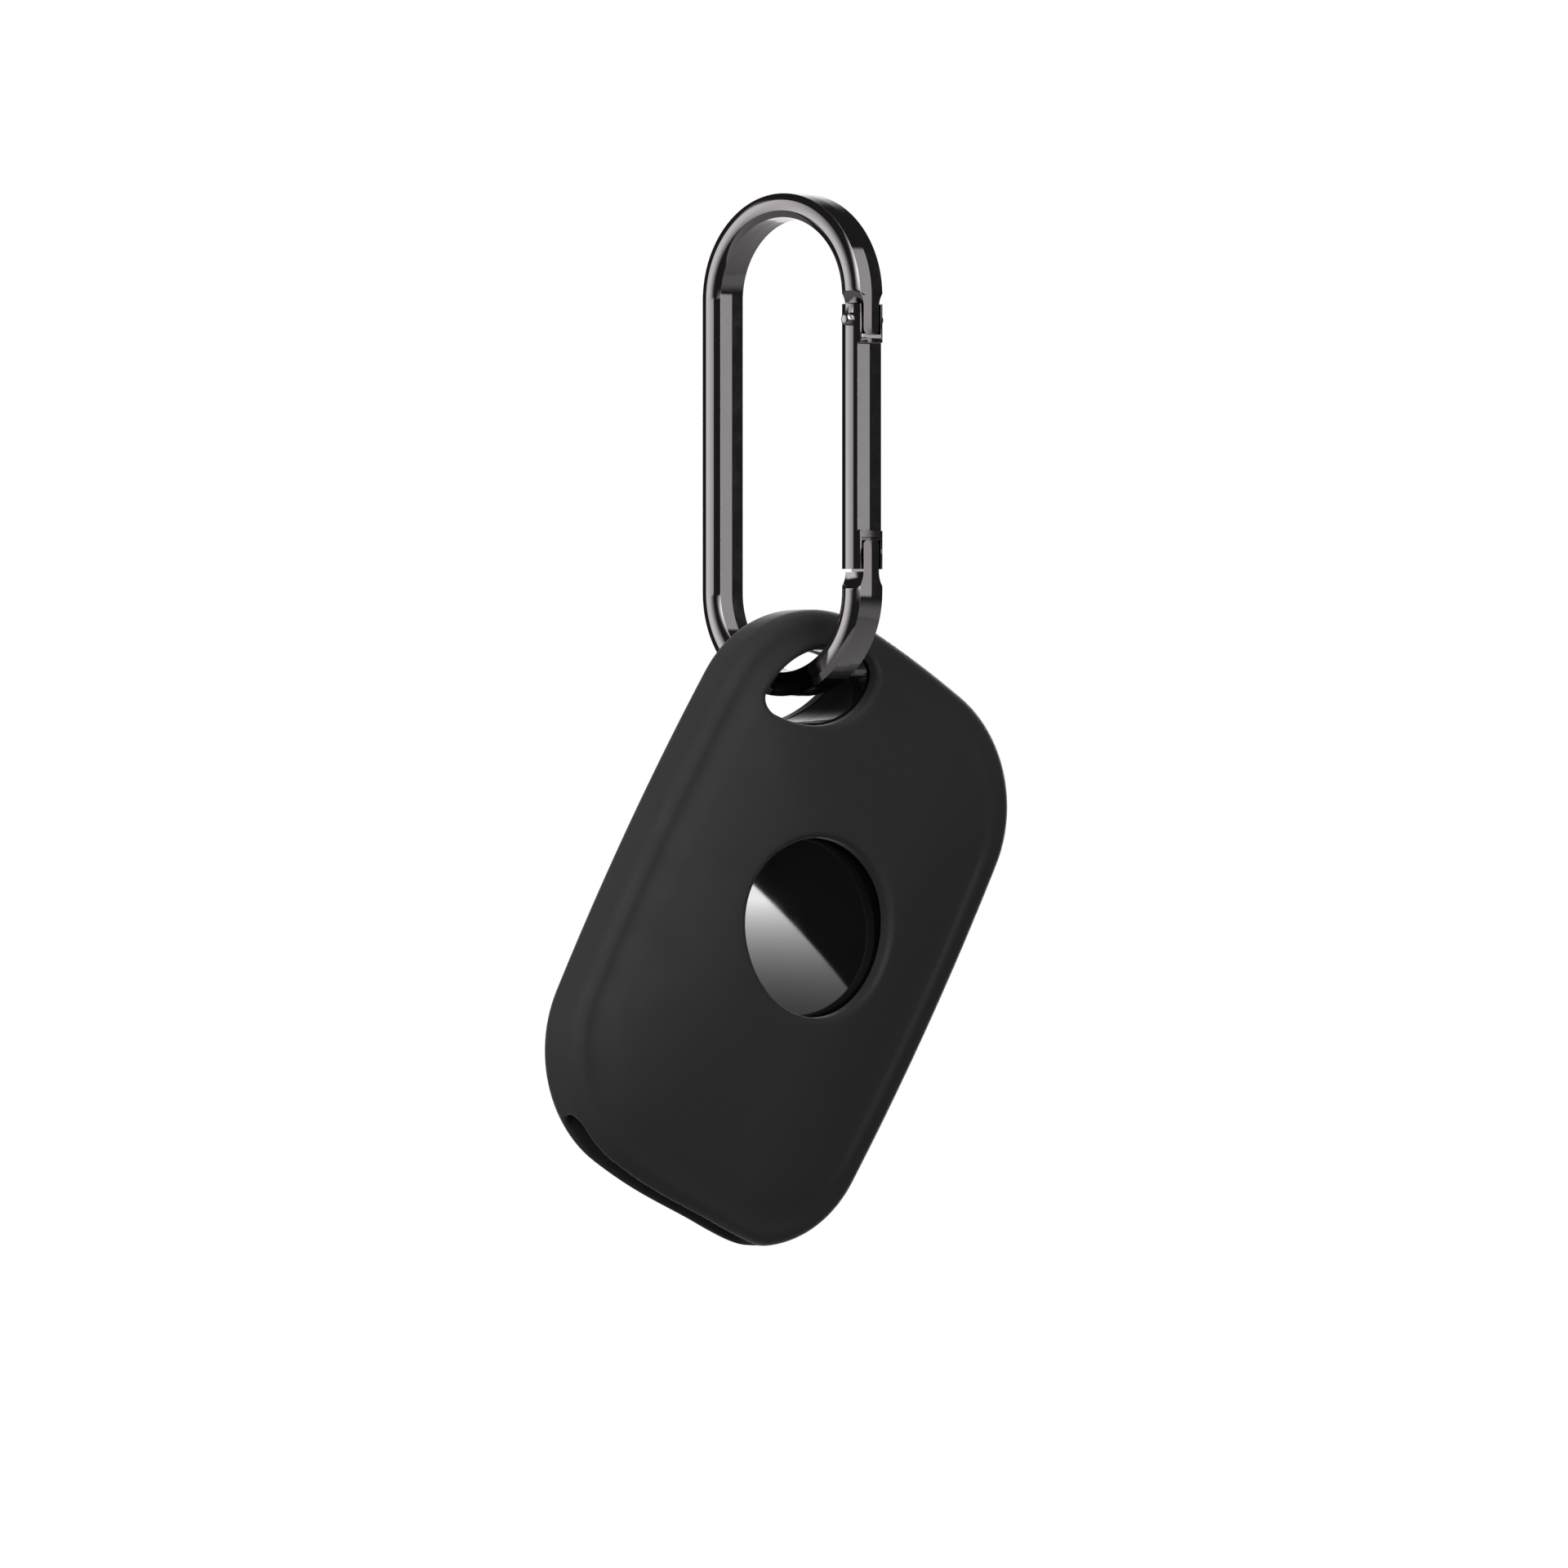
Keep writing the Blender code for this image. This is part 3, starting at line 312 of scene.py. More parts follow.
tin = new_material("tin_plate", (0.62, 0.62, 0.6), 0.3, 1.0, patches=(1800, 5, 0.22, 0.36))
copper = new_material("copper", (0.72, 0.36, 0.22), 0.3, 1.0, patches=(1800, 5, 0.22, 0.36))
brass = new_material("brass", (0.68, 0.52, 0.22), 0.28, 1.0, patches=(1800, 5, 0.2, 0.34))
resin = new_material("light_resin", (0.85, 0.85, 0.8), 0.25, patches=(1800, 4, 0.2, 0.3))


def wear(made, finish):
    made.data.materials.clear()
    made.data.materials.append(finish)


for name, finish in (
        ("gate_plunger", steel), ("gate_spring", steel), ("shell_seal", rubber),
        ("button_seal", rubber), ("circuit_board", resist), ("radio_module", tin),
        ("crystal", tin), ("indicator_led", resin), ("antenna", copper),
        ("switch_base", plastic), ("switch_stem", rubber), ("coin_cell", tin),
        ("cell_cradle", plastic), ("cell_contact_front", tin), ("cell_contact_rear", tin),
        ("sounder_case", plastic), ("sounder_disc", brass), ("board_screw_1", steel),
        ("board_screw_2", steel), ("board_screw_3", steel)):
    wear(nodes[name], finish)


def finish_piece(made, finish, body, slot, *replaced):
    wear(made, finish)
    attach(made, body)
    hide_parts(*replaced)


# The ring's bar: chamfered edges, and broad faces that rise to a fine ridge in their middle

chamfer_across, chamfer_deep = 0.71, 0.26
face_ridge, front_crown = 0.03, 0.011


def bar_section():
    half_t, half_d = bar_thickness / 2, bar_depth / 2
    flat, wall = half_t - chamfer_across, half_d - chamfer_deep
    quarter = [(half_t, 0.0), (half_t - face_ridge, wall), (flat, half_d - front_crown)]
    upper = quarter + [(0.0, half_d)] + [(-x, y) for x, y in reversed(quarter)]
    return upper + [(-x, -y) for x, y in upper[1:-1]]


def bar_along(name, path):
    """The bar along a path of places and normals, its side ridges marked sharp."""
    section = bar_section()
    count = len(section)
    rings = [[Vector((place.x + normal.x * x, y, place.y + normal.y * x)) for x, y in section]
             for place, normal in path]
    made = mesh_object(name, *lofted(rings), ring_matrix)
    faces_out(made)

    def sharpen(bm):
        for line in bm.edges:
            a, b = (v.index % count for v in line.verts)
            if a == b and a in (0, count // 2):
                line.smooth = False

    edit_mesh(made, sharpen)
    return made


def straight(x, start, end, normal_x, steps):
    return [(Vector((x, start + (end - start) * s / steps)), Vector((normal_x, 0)))
            for s in range(steps + 1)]


def bend(centre_z, start, end, steps=72):
    path = []
    for step in range(steps + 1):
        angle = start + (end - start) * step / steps
        direction = Vector((math.cos(angle), math.sin(angle)))
        path.append((Vector((0, centre_z)) + direction * ring_radius, direction))
    return path


# The snap ring, open on its gate side, with a tongue at each end of the opening

tongue_depth, shoulder_fillet, tongue_corner = 2.3, 2.2, 0.5
web_thickness, fit_gap = 0.5, 0.3
pin_hole_radius = 0.59
pin_matrix = (ring_matrix @ Matrix.Translation((ring_radius, 0, hinge_z))
              @ Matrix.Rotation(math.pi / 2, 4, "X"))


def tongue_tools(shoulder_z, end_z):
    """The two cuts beside a tongue, from its shoulders past its end."""
    way = 1 if end_z > shoulder_z else -1
    flank = tongue_depth / 2
    outer = bar_depth / 2 + past
    sweep = math.acos(1 - (outer - flank) / shoulder_fillet)
    outline = arc(flank + shoulder_fillet, shoulder_z, shoulder_fillet,
                  math.pi + way * sweep, math.pi, 16)
    cx, cy = flank - tongue_corner, end_z - way * tongue_corner
    outline += arc(cx, cy, tongue_corner, 0, way * math.pi / 2, 8)
    beyond = end_z + way * past
    outline += [Vector((cx, beyond)), Vector((outer, beyond))]
    turn = Matrix(((0, 0, 1), (1, 0, 0), (0, 1, 0))).to_4x4()
    place = ring_matrix @ Matrix.Translation((ring_radius, 0, 0)) @ turn
    return [prism([Vector((side * p.x, p.y)) for p in outline],
                  -bar_thickness, bar_thickness, place) for side in (1, -1)]


def pin_tool():
    return prism(circle(0, 0, pin_hole_radius, 32), -bar_depth, bar_depth, pin_matrix)


ring_path = straight(ring_radius, hinge_end_z, upper_z, 1, 4)[:-1]
ring_path += bend(upper_z, 0, math.pi)
ring_path += straight(-ring_radius, upper_z, lower_z, -1, 8)[1:-1]
ring_path += bend(lower_z, math.pi, 2 * math.pi)
ring_path += straight(ring_radius, lower_z, latch_end_z, 1, 4)[1:]

ring = bar_along("snap_ring", ring_path)
inner_x = ring_radius - bar_thickness / 2
web_room = web_thickness + fit_gap
web_bottom, web_top = gate_foot_z - fit_gap, latch_end_z + past
tools = tongue_tools(hinge_shoulder_z, hinge_end_z)
tools += tongue_tools(latch_shoulder_z, latch_end_z)
tools.append(pin_tool())
tools.append(box_tool(
    (web_room + past, bar_depth + past, web_top - web_bottom),
    (inner_x + (web_room - past) / 2, 0, (web_top + web_bottom) / 2), ring_matrix))
cut(ring, *tools)
smooth(ring)
soften(ring, 0.07)
finish_piece(ring, gunmetal, "carabiner", "gunmetal", "carabiner_frame")

# The gate: a slot at its head, a slot and a web at its foot, a bore and a waist between

floor_gap = 0.4
waist_end, waist_depth = 3.8, 0.26
bore_radius, bore_bottom = 0.71, -20.2
ridge_inset = 0.25

gate = bar_along("ring_gate", straight(ring_radius, gate_top_z, gate_foot_z, 1, 12))
slot_depth = tongue_depth + 2 * fit_gap
slot_floor, slot_top = hinge_end_z - floor_gap, gate_top_z + past
tools = [box_tool((2 * bar_thickness, slot_depth, slot_top - slot_floor),
                  (ring_radius, 0, (slot_top + slot_floor) / 2), ring_matrix)]
foot_roof, foot_bottom = latch_end_z + fit_gap, gate_foot_z - past
foot_width = bar_thickness - web_thickness + past
tools.append(box_tool(
    (foot_width, slot_depth, foot_roof - foot_bottom),
    (inner_x + web_thickness + foot_width / 2, 0, (foot_roof + foot_bottom) / 2), ring_matrix))

waist_bottom, waist_top = gate_foot_z + waist_end, gate_top_z - waist_end
waist_x = ring_radius + bar_thickness / 2 - waist_depth
side_x = waist_x - face_ridge * bar_depth / (bar_depth / 2 - chamfer_deep)
waist = [Vector((waist_x, 0)), Vector((side_x, -bar_depth)), Vector((waist_x + past, -bar_depth)),
         Vector((waist_x + past, bar_depth)), Vector((side_x, bar_depth))]
tools.append(prism(waist, waist_bottom, waist_top, ring_matrix))
tools.append(pin_tool())
tools.append(prism(circle(0, 0, bore_radius, 32), bore_bottom, slot_floor + past,
                   ring_matrix @ Matrix.Translation((ring_radius, 0, 0))))
cut(gate, *tools)
smooth(gate)
waist_ridge = ring_matrix @ Vector((waist_x, 0, 0)) * MM


def sharpen_waist(bm):
    """Ends the waist's ridge a little short of the waist and marks it sharp."""
    for level in (waist_bottom + ridge_inset, waist_top - ridge_inset):
        bmesh.ops.bisect_plane(bm, geom=bm.verts[:] + bm.edges[:] + bm.faces[:],
                               plane_co=(0, 0, level * MM), plane_no=(0, 0, 1))
    for line in bm.edges:
        off = max(math.hypot(v.co.x - waist_ridge.x, v.co.y - waist_ridge.y) for v in line.verts)
        if off < 0.002 * MM:
            line.smooth = False


edit_mesh(gate, sharpen_waist)
soften(gate, 0.06)
finish_piece(gate, gunmetal, "gate", "gunmetal", "gate_bar")

# The hinge pin, with a domed head on each side

pin_radius, head_radius, head_height = 0.55, 0.64, 0.72
head_round, head_corner, head_gap = 0.36, 0.06, 0.02

head_z = bar_depth / 2 + head_gap
tip_z = head_z + head_height
profile = [(0, tip_z)]
profile += [(p.x, p.y) for p in arc(head_radius - head_round, tip_z - head_round, head_round,
                                    math.pi / 2, 0, 10)]
profile += [(head_radius, head_z + head_corner), (head_radius - head_corner, head_z),
            (pin_radius, head_z)]
profile += [(x, -z) for x, z in reversed(profile)]
pin = turned("hinge_pin", profile, 40, pin_matrix)
smooth(pin, 40)
finish_piece(pin, steel, "carabiner", "pin_steel", "gate_hinge_pin")


# Forms of the cover and of the fob inside it

class Pillow:
    """A crowned slab with bowed sides, round corners and a soft edge, in millimetres."""

    sweep = math.radians(78.0)

    def __init__(self, length, width, thickness, r_long, r_short, r_corner, crown, edge):
        self.length, self.width, self.thickness = length, width, thickness
        self.r_long, self.r_short, self.r_corner = r_long, r_short, r_corner
        self.crown, self.edge = crown, edge
        rim_height = thickness / 2 - crown
        self.band = 0.4 * rim_height
        self.rise = (rim_height - self.band) / math.sin(self.sweep)
        self.long_c = Vector((width / 2 - r_long, 0))
        self.short_c = Vector((0, length / 2 - r_short))
        a, b = r_long - r_corner, r_short - r_corner
        line = self.short_c - self.long_c
        gap = line.length
        foot = (a * a - b * b + gap * gap) / (2 * gap)
        unit = line / gap
        self.corner = (self.long_c + unit * foot
                       + Vector((-unit.y, unit.x)) * math.sqrt(a * a - foot * foot))
        inset = self.edge * (1 - math.cos(self.sweep))
        self.rim = self.outline(inset)
        fine_rim = np.array([(p.x, p.y) for p in self.outline(inset, 110, 156, 70)])
        step = np.roll(fine_rim, -1, 0) - fine_rim
        normal = np.stack([step[:, 1], -step[:, 0]], 1)
        self.slopes = normal / (normal * fine_rim).sum(1)[:, None]

    def shrunk(self, wall, crown=None, edge=None):
        return Pillow(self.length - 2 * wall, self.width - 2 * wall, self.thickness - 2 * wall,
                      self.r_long - wall, self.r_short - wall, self.r_corner - wall,
                      self.crown if crown is None else crown,
                      self.edge - wall if edge is None else edge)

    def outline(self, inset, long_steps=22, corner_steps=26, short_steps=14):
        c = self.corner
        first = math.atan2(c.y - self.long_c.y, c.x - self.long_c.x)
        last = math.atan2(c.y - self.short_c.y, c.x - self.short_c.x)
        quarter = arc(self.long_c.x, self.long_c.y, self.r_long - inset, 0, first, long_steps)
        quarter += arc(c.x, c.y, self.r_corner - inset, first, last, corner_steps)[1:]
        quarter += arc(self.short_c.x, self.short_c.y, self.r_short - inset, last,
                       math.pi / 2, short_steps)[1:]
        upper = quarter + [Vector((-p.x, p.y)) for p in reversed(quarter[:-1])]
        return upper + [-p for p in upper[1:-1]]

    def share_at(self, point):
        """How far out a point lies: 0 at the middle, 1 at the rim."""
        return float(np.max(self.slopes @ np.array((point.x, point.y))))

    def height_at(self, point):
        """Crowned height, which eases off into a shallow valley at the rim."""
        share = min(self.share_at(point), 1.0)
        start, fullness, ease = 0.86, 2.5, 0.2
        if share < start:
            return self.thickness / 2 - self.crown * share ** fullness
        span = 1 - start
        t = (share - start) / span
        low, slope = start ** fullness, fullness * start ** (fullness - 1) * span
        fall = (low * (2 * t ** 3 - 3 * t * t + 1) + slope * (t ** 3 - 2 * t * t + t)
                + (3 * t * t - 2 * t ** 3) + ease * span * (t ** 3 - t * t))
        return self.thickness / 2 - self.crown * fall

    def edge_rings(self, steps=12):
        """From the front rim round the edge to the rear rim, the rims included."""
        rings = []
        for step in reversed(range(steps + 1)):
            angle = self.sweep * step / steps
            inset = self.edge * (1 - math.cos(angle))
            z = self.band + self.rise * math.sin(angle)
            rings.append([Vector((p.x, p.y, z)) for p in self.outline(inset)])
        middle = [[Vector((p.x, p.y, 0)) for p in self.outline(0)]]
        mirrored = [[Vector((p.x, p.y, -p.z)) for p in ring] for ring in reversed(rings)]
        return rings + middle + mirrored


cover_length, cover_width, cover_thickness = 61.9, 40.2, 14.2
long_bow, short_bow, corner_radius = 320.0, 119.0, 13.25
fob_inset, fob_gap, case_wall = 1.9, 0.3, 1.0
cover = Pillow(cover_length, cover_width, cover_thickness, long_bow, short_bow, corner_radius,
               crown=0.58 * cover_thickness / 2, edge=1.8)
fob = cover.shrunk(fob_inset, crown=0.65 * (cover_thickness / 2 - fob_inset), edge=1.4)
inside = fob.shrunk(-fob_gap)
hollow = fob.shrunk(case_wall)

# The hanging hole in the top corner, and the place where its edge rests on the ring

hole_half_width, hole_half_height, hole_tip = 7.3, 3.7, 1.5
front_half_height, rear_tighter, case_tighter = 3.6, 0.25, 0.2
hole_out = Vector((-1, 1)).normalized()
hole_along = Vector((1, 1)).normalized()
hole_centre = Vector((-cover.corner.x, cover.corner.y)) + hole_out * 5.6 + hole_along * 0.7
pivot = hole_centre - hole_along * 1.1 + hole_out * 0.5
cover_origin = Vector((-0.3, 0, lower_z - ring_radius)) - across * pivot.x - along * pivot.y
cover_matrix = (Matrix.Translation(cover_origin)
                @ Matrix((across, along, outwards)).transposed().to_4x4())
window_radius = 8.9


def from_hole(points):
    return [hole_centre + hole_along * p.x + hole_out * p.y for p in points]


def hole_outline(grow, outer_height=hole_half_height, lens=26, tip_steps=12):
    """A lens with round tips, whose outer side may bow less than its inner one."""
    reach = hole_half_width - hole_tip
    sides = []
    for height_to in (outer_height, hole_half_height):
        radius = (height_to ** 2 - hole_tip ** 2 + reach ** 2) / (2 * (height_to - hole_tip))
        low = height_to - radius
        sides.append((radius + grow, low, math.atan2(-low, reach)))
    (out_radius, out_low, out_lean), (in_radius, in_low, in_lean) = sides
    points = arc(reach, 0, hole_tip + grow, -in_lean, out_lean, tip_steps)
    points += arc(0, out_low, out_radius, out_lean, math.pi - out_lean, lens)[1:]
    points += arc(-reach, 0, hole_tip + grow, math.pi - out_lean, math.pi + in_lean, tip_steps)[1:]
    points += arc(0, -in_low, in_radius, math.pi + in_lean, 2 * math.pi - in_lean, lens)[1:-1]
    return from_hole(points)


def front_hole(grow):
    return hole_outline(grow, front_half_height)


def rear_hole(grow):
    return hole_outline(grow - rear_tighter)


def window_outline(grow):
    return circle(0, 0, window_radius + grow, 120)


def inside_of(point, outline):
    hit = False
    for a, b in zip(outline, outline[1:] + outline[:1]):
        if (a.y > point.y) != (b.y > point.y):
            if point.x < (b.x - a.x) * (point.y - a.y) / (b.y - a.y) + a.x:
                hit = not hit
    return hit


# Crowned faces: a triangular grid of points inside, and rings of points towards the rim

rim_shares = (1.0, 0.98, 0.955, 0.93, 0.905, 0.88, 0.86)
row_ratio, grid_clear, ring_clear, share_clear = 0.866, 0.45, 0.35, 0.012


def crown_mesh(form, holes, sign, spacing=0.9):
    """Verts and triangles of a form's front (1) or rear (-1) face, with holes."""
    loops = [form.rim] + holes
    points, edges = [], []
    for loop in loops:
        base, count = len(points), len(loop)
        points.extend(Vector((p.x, p.y)) for p in loop)
        edges.extend((base + i, base + (i + 1) % count) for i in range(count))

    def in_hole(point):
        return any(inside_of(point, hole) for hole in holes)

    boundary = [p for loop in loops for p in loop]
    half_w, half_l = form.width / 2, form.length / 2
    for row in range(int(2 * half_l / (spacing * row_ratio)) + 1):
        y = -half_l + row * spacing * row_ratio
        x = -half_w + (spacing / 2 if row % 2 else 0)
        while x < half_w:
            point = Vector((x, y))
            x += spacing
            if not inside_of(point, form.rim) or in_hole(point):
                continue
            if form.share_at(point) > rim_shares[-1] - share_clear:
                continue
            if min((point - b).length_squared for b in boundary) < (grid_clear * spacing) ** 2:
                continue
            points.append(point)
    hole_points = [p for hole in holes for p in hole]
    for share in rim_shares[1:]:
        for point in (p * share for p in form.rim):
            if in_hole(point):
                continue
            if min(((point - b).length for b in hole_points), default=math.inf) > ring_clear:
                points.append(point)
    places, _, faces, _, _, _ = delaunay_2d_cdt(points, edges, [], 0, 1e-6)
    kept = []
    for face in faces:
        centre = sum((places[i] for i in face), Vector((0, 0))) / len(face)
        if inside_of(centre, form.rim) and not in_hole(centre):
            kept.append(tuple(face) if sign > 0 else tuple(reversed(face)))
    return [Vector((p.x, p.y, sign * form.height_at(p))) for p in places], kept


def lip_wall(outline_of, lip, sign, steps=6):
    """From the cover's outer face over a rounded lip and down to its inner face."""
    rings = []
    for step in range(steps + 1):
        turn = math.pi / 2 * step / steps
        depth = lip * (1 - math.cos(turn))
        points = outline_of(lip * (1 - math.sin(turn)))
        rings.append([Vector((p.x, p.y, sign * (cover.height_at(p) - depth))) for p in points])
    floor, start = outline_of(0), rings[-1]
    for share in (0.5, 1.0):
        rings.append([Vector((p.x, p.y, q.z * (1 - share) + sign * inside.height_at(p) * share))
                      for p, q in zip(floor, start)])
    return lofted(rings, cap=False)


# The silicone cover

window_lip, hole_lip, rear_lip = 0.7, 0.8, 0.4
inner_spacing = 1.5
shell = weld("soft_cover", [
    crown_mesh(cover, [window_outline(window_lip), front_hole(hole_lip)], 1),
    crown_mesh(cover, [rear_hole(rear_lip)], -1),
    crown_mesh(inside, [window_outline(0), front_hole(0)], 1, inner_spacing),
    crown_mesh(inside, [rear_hole(0)], -1, inner_spacing),
    lofted(cover.edge_rings(), cap=False), lofted(inside.edge_rings(6), cap=False),
    lip_wall(window_outline, window_lip, 1), lip_wall(front_hole, hole_lip, 1),
    lip_wall(rear_hole, rear_lip, -1)], cover_matrix)

# The mouth, cut through the lower short side with rounded lips

mouth_half, mouth_height, mouth_lip, mouth_reach = 13.1, 2.6, 0.45, 5.0


def side_y(x, z):
    """Where the lower short side's surface lies."""
    share = min(max((abs(z) - cover.band) / cover.rise, 0.0), 1.0)
    inset = cover.edge * (1 - math.sqrt(1 - share * share))
    y = cover.short_c.y + math.sqrt((cover.r_short - inset) ** 2 - x ** 2)
    round_radius = cover.r_corner - inset
    dx = abs(x) - abs(cover.corner.x)
    if 0 < dx < round_radius:
        y = min(y, cover.corner.y + math.sqrt(round_radius ** 2 - dx ** 2))
    return -y


def mouth_outline(grow, steps=40):
    half = mouth_half - mouth_height / 2
    radius = mouth_height / 2 + grow
    right = arc(half, 0, radius, -math.pi / 2, math.pi / 2, 12)
    top = [Vector((half - 2 * half * s / steps, radius)) for s in range(1, steps)]
    left = [Vector((-p.x, -p.y)) for p in right]
    bottom = [Vector((-p.x, -p.y)) for p in top]
    return right + top + left + bottom


def mouth_tool(steps=6):
    """From outside the short side over the rounded lips and into the hollow."""
    rings = [[Vector((p.x, side_y(p.x, p.y) - past, p.y)) for p in mouth_outline(mouth_lip)]]
    for step in range(steps + 1):
        turn = math.pi / 2 * step / steps
        depth = mouth_lip * (1 - math.cos(turn))
        points = mouth_outline(mouth_lip * (1 - math.sin(turn)))
        rings.append([Vector((p.x, side_y(p.x, p.y) + depth, p.y)) for p in points])
    rings.append([Vector((p.x, -cover.length / 2 + mouth_reach, p.y)) for p in mouth_outline(0)])
    made = mesh_object("tool", *lofted(rings), cover_matrix)
    faces_out(made, True)
    return made


def draw_in(made, at_x, reach, depth, start_y, end_y):
    """Draws the mouth's side in where the soft lips have settled."""
    back = cover_matrix.inverted()
    for vert in made.data.vertices:
        place = back @ (vert.co / MM)
        if place.y < start_y:
            t = min((start_y - place.y) / (start_y - end_y), 1.0)
            pull = depth * t * t * (3 - 2 * t) * math.exp(-((place.x - at_x) / reach) ** 2 / 2)
            vert.co = cover_matrix @ (place + Vector((0, pull, 0))) * MM


tool = mouth_tool()
faces_out(shell, True)
cut(shell, tool)
draw_in(shell, at_x=8.0, reach=6.0, depth=0.9, start_y=-28.5, end_y=-31.0)
smooth(shell, 42)
finish_piece(shell, silicone, "cover", "black_silicone", "silicone_cover")

# The fob's two shells, with the hanging hole's wall, the disc's seat and the screw bosses

shell_gap = 0.05
corner_wall = 0.9
seat_radius, seat_wall = 10.48, 1.2
ledge_radius, ledge_low, ledge_high = 8.6, 2.25, 2.8
screw_radius, screw_gap, boss_wall = 0.7, 0.08, 0.7
boss_foot, screw_low, screw_high = 1.4, 0.7, 2.6
groove_outer, groove_inner, groove_low, groove_high = 0.25, 0.75, -0.5, 1.0
through = 8  # half the height of the tools that cut right through the fob


def closed_form(name, form, spacing, only=0):
    """The whole of a form, or its front (1) or rear (-1) half down to the parting face."""
    rings = form.edge_rings(10)
    skins = [crown_mesh(form, [], sign, spacing) for sign in (1, -1) if sign != -only]
    if only:
        rings = rings[:len(rings) // 2] if only > 0 else rings[len(rings) // 2 + 1:][::-1]
        rings.append([Vector((p.x, p.y, only * shell_gap)) for p in form.outline(0)])
    verts, faces = lofted(rings, cap=False)
    if only:
        faces.append(tuple(range(len(verts) - len(rings[0]), len(verts))))
    made = weld(name, skins + [(verts, faces)], cover_matrix)
    faces_out(made, True)
    return made


def upright(outline, bottom=-through, top=through):
    made = prism(outline, bottom, top, cover_matrix)
    faces_out(made, True)
    return made


def screw_place(number):
    low, high = (Vector(corner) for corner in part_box(f"board_screw_{number}"))
    return cover_matrix.inverted() @ ((low + high) / 2 / MM)


def corner_block():
    """The hole's inner half with its wall, carried on outwards past the corner."""
    reach, depth = hole_half_width + corner_wall, hole_half_height + corner_wall
    radius = (reach ** 2 + depth ** 2) / (2 * depth)
    half = math.asin(reach / radius)
    points = arc(0, radius - depth, radius, -math.pi / 2 - half, -math.pi / 2 + half, 40)
    outer = cover.r_corner + past
    return from_hole(points + [Vector((reach, outer)), Vector((-reach, outer))])


def shell_cavity():
    """The hollow of a shell, left solid round the hanging hole's corner."""
    cavity = closed_form("cavity", hollow, 1.6)
    cut(cavity, upright(corner_block()))
    return cavity


def groove_tool(outer, inner, bottom, top):
    rings = [[Vector((p.x, p.y, z)) for p in outline]
             for outline, z in ((outer, bottom), (outer, top), (inner, top), (inner, bottom),
                                (outer, bottom))]
    return weld("tool", [lofted(rings, cap=False)], cover_matrix)


screws = [screw_place(number) for number in (1, 2, 3)]
screw_hole = screw_radius + screw_gap

front_case = closed_form("front_case", fob, 1.1, 1)
cavity = shell_cavity()
cut(cavity, upright(circle(0, 0, seat_radius + seat_wall, 96), ledge_low))
for screw in screws:
    cut(cavity, upright(circle(screw.x, screw.y, screw_hole + boss_wall, 32), boss_foot))
seat = turned("tool", [(0, through), (seat_radius, through), (seat_radius, ledge_high),
                       (ledge_radius, ledge_high), (ledge_radius, ledge_low - past),
                       (0, ledge_low - past)], 96, cover_matrix)
cut(front_case, cavity)
cut(front_case, seat)
cut(front_case, upright(hole_outline(-case_tighter)))
for screw in screws:
    cut(front_case, upright(circle(screw.x, screw.y, screw_hole, 32), screw_low, screw_high))

rear_case = closed_form("rear_case", fob, 1.1, -1)
cut(rear_case, shell_cavity())
cut(rear_case, upright(hole_outline(-case_tighter)))
cut(rear_case, groove_tool(fob.outline(groove_outer), fob.outline(groove_inner),
                           groove_low, groove_high))

for case, node in ((front_case, "front_shell"), (rear_case, "rear_shell")):
    close_slits(case)
    smooth(case, 35)
    finish_piece(case, gloss, "cover", "gloss_black_plastic", node)

# The disc that is pressed: a shallow dome, a round shoulder and a straight rim

disc_radius, disc_back_z, rim_round, rim_x, rim_z = 10.4, 3.45, 0.15, 10.25, 3.95
dome_radius, dome_z, dome_rise, dome_steps = 9.35, 4.52, 0.33, 24
shoulder_width, shoulder_z, shoulder_fall, shoulder_steps = 0.9, 4.1, 0.42, 8

profile = [(dome_radius * s / dome_steps, dome_z + dome_rise * (1 - (s / dome_steps) ** 2))
           for s in range(dome_steps + 1)]
profile += [(dome_radius + shoulder_width * s / shoulder_steps,
             shoulder_z + shoulder_fall * math.cos(math.pi * s / (2 * shoulder_steps)) ** 1.3)
            for s in range(1, shoulder_steps + 1)]
profile += [(rim_x + rim_round * math.sin(a), rim_z + rim_round * math.cos(a))
            for a in (math.pi / 6, math.pi / 3, math.pi / 2)]
profile += [(disc_radius, disc_back_z), (0, disc_back_z)]
disc = turned("press_disc", profile, 160, cover_matrix)
smooth(disc, 40)
finish_piece(disc, lacquer, "button", "gloss_black_plastic", "finder_button")

# The floor, white for the camera and dark in reflections

floor_radius, floor_z, floor_sides = 500, -200, 96
floor = mesh_object("floor", [(p.x, p.y, floor_z) for p in circle(0, 0, floor_radius, floor_sides)],
                    [tuple(range(floor_sides))])
pale = new_material("pale_floor", (0.9, 0.9, 0.9), 0.8)
wear(floor, pale)
seen = add_node(pale, "ShaderNodeLightPath")
shade = pale.node_tree.nodes.new("ShaderNodeMix")
shade.data_type = "RGBA"
shade.inputs["A"].default_value = (0.1, 0.1, 0.1, 1)
shade.inputs["B"].default_value = (0.9, 0.9, 0.9, 1)
pale.node_tree.links.new(seen.outputs["Is Camera Ray"], shade.inputs["Factor"])
pale.node_tree.links.new(shade.outputs["Result"], shader_of(pale).inputs["Base Color"])

# The lamps, all aimed at the object's middle: place and size in metres, and power

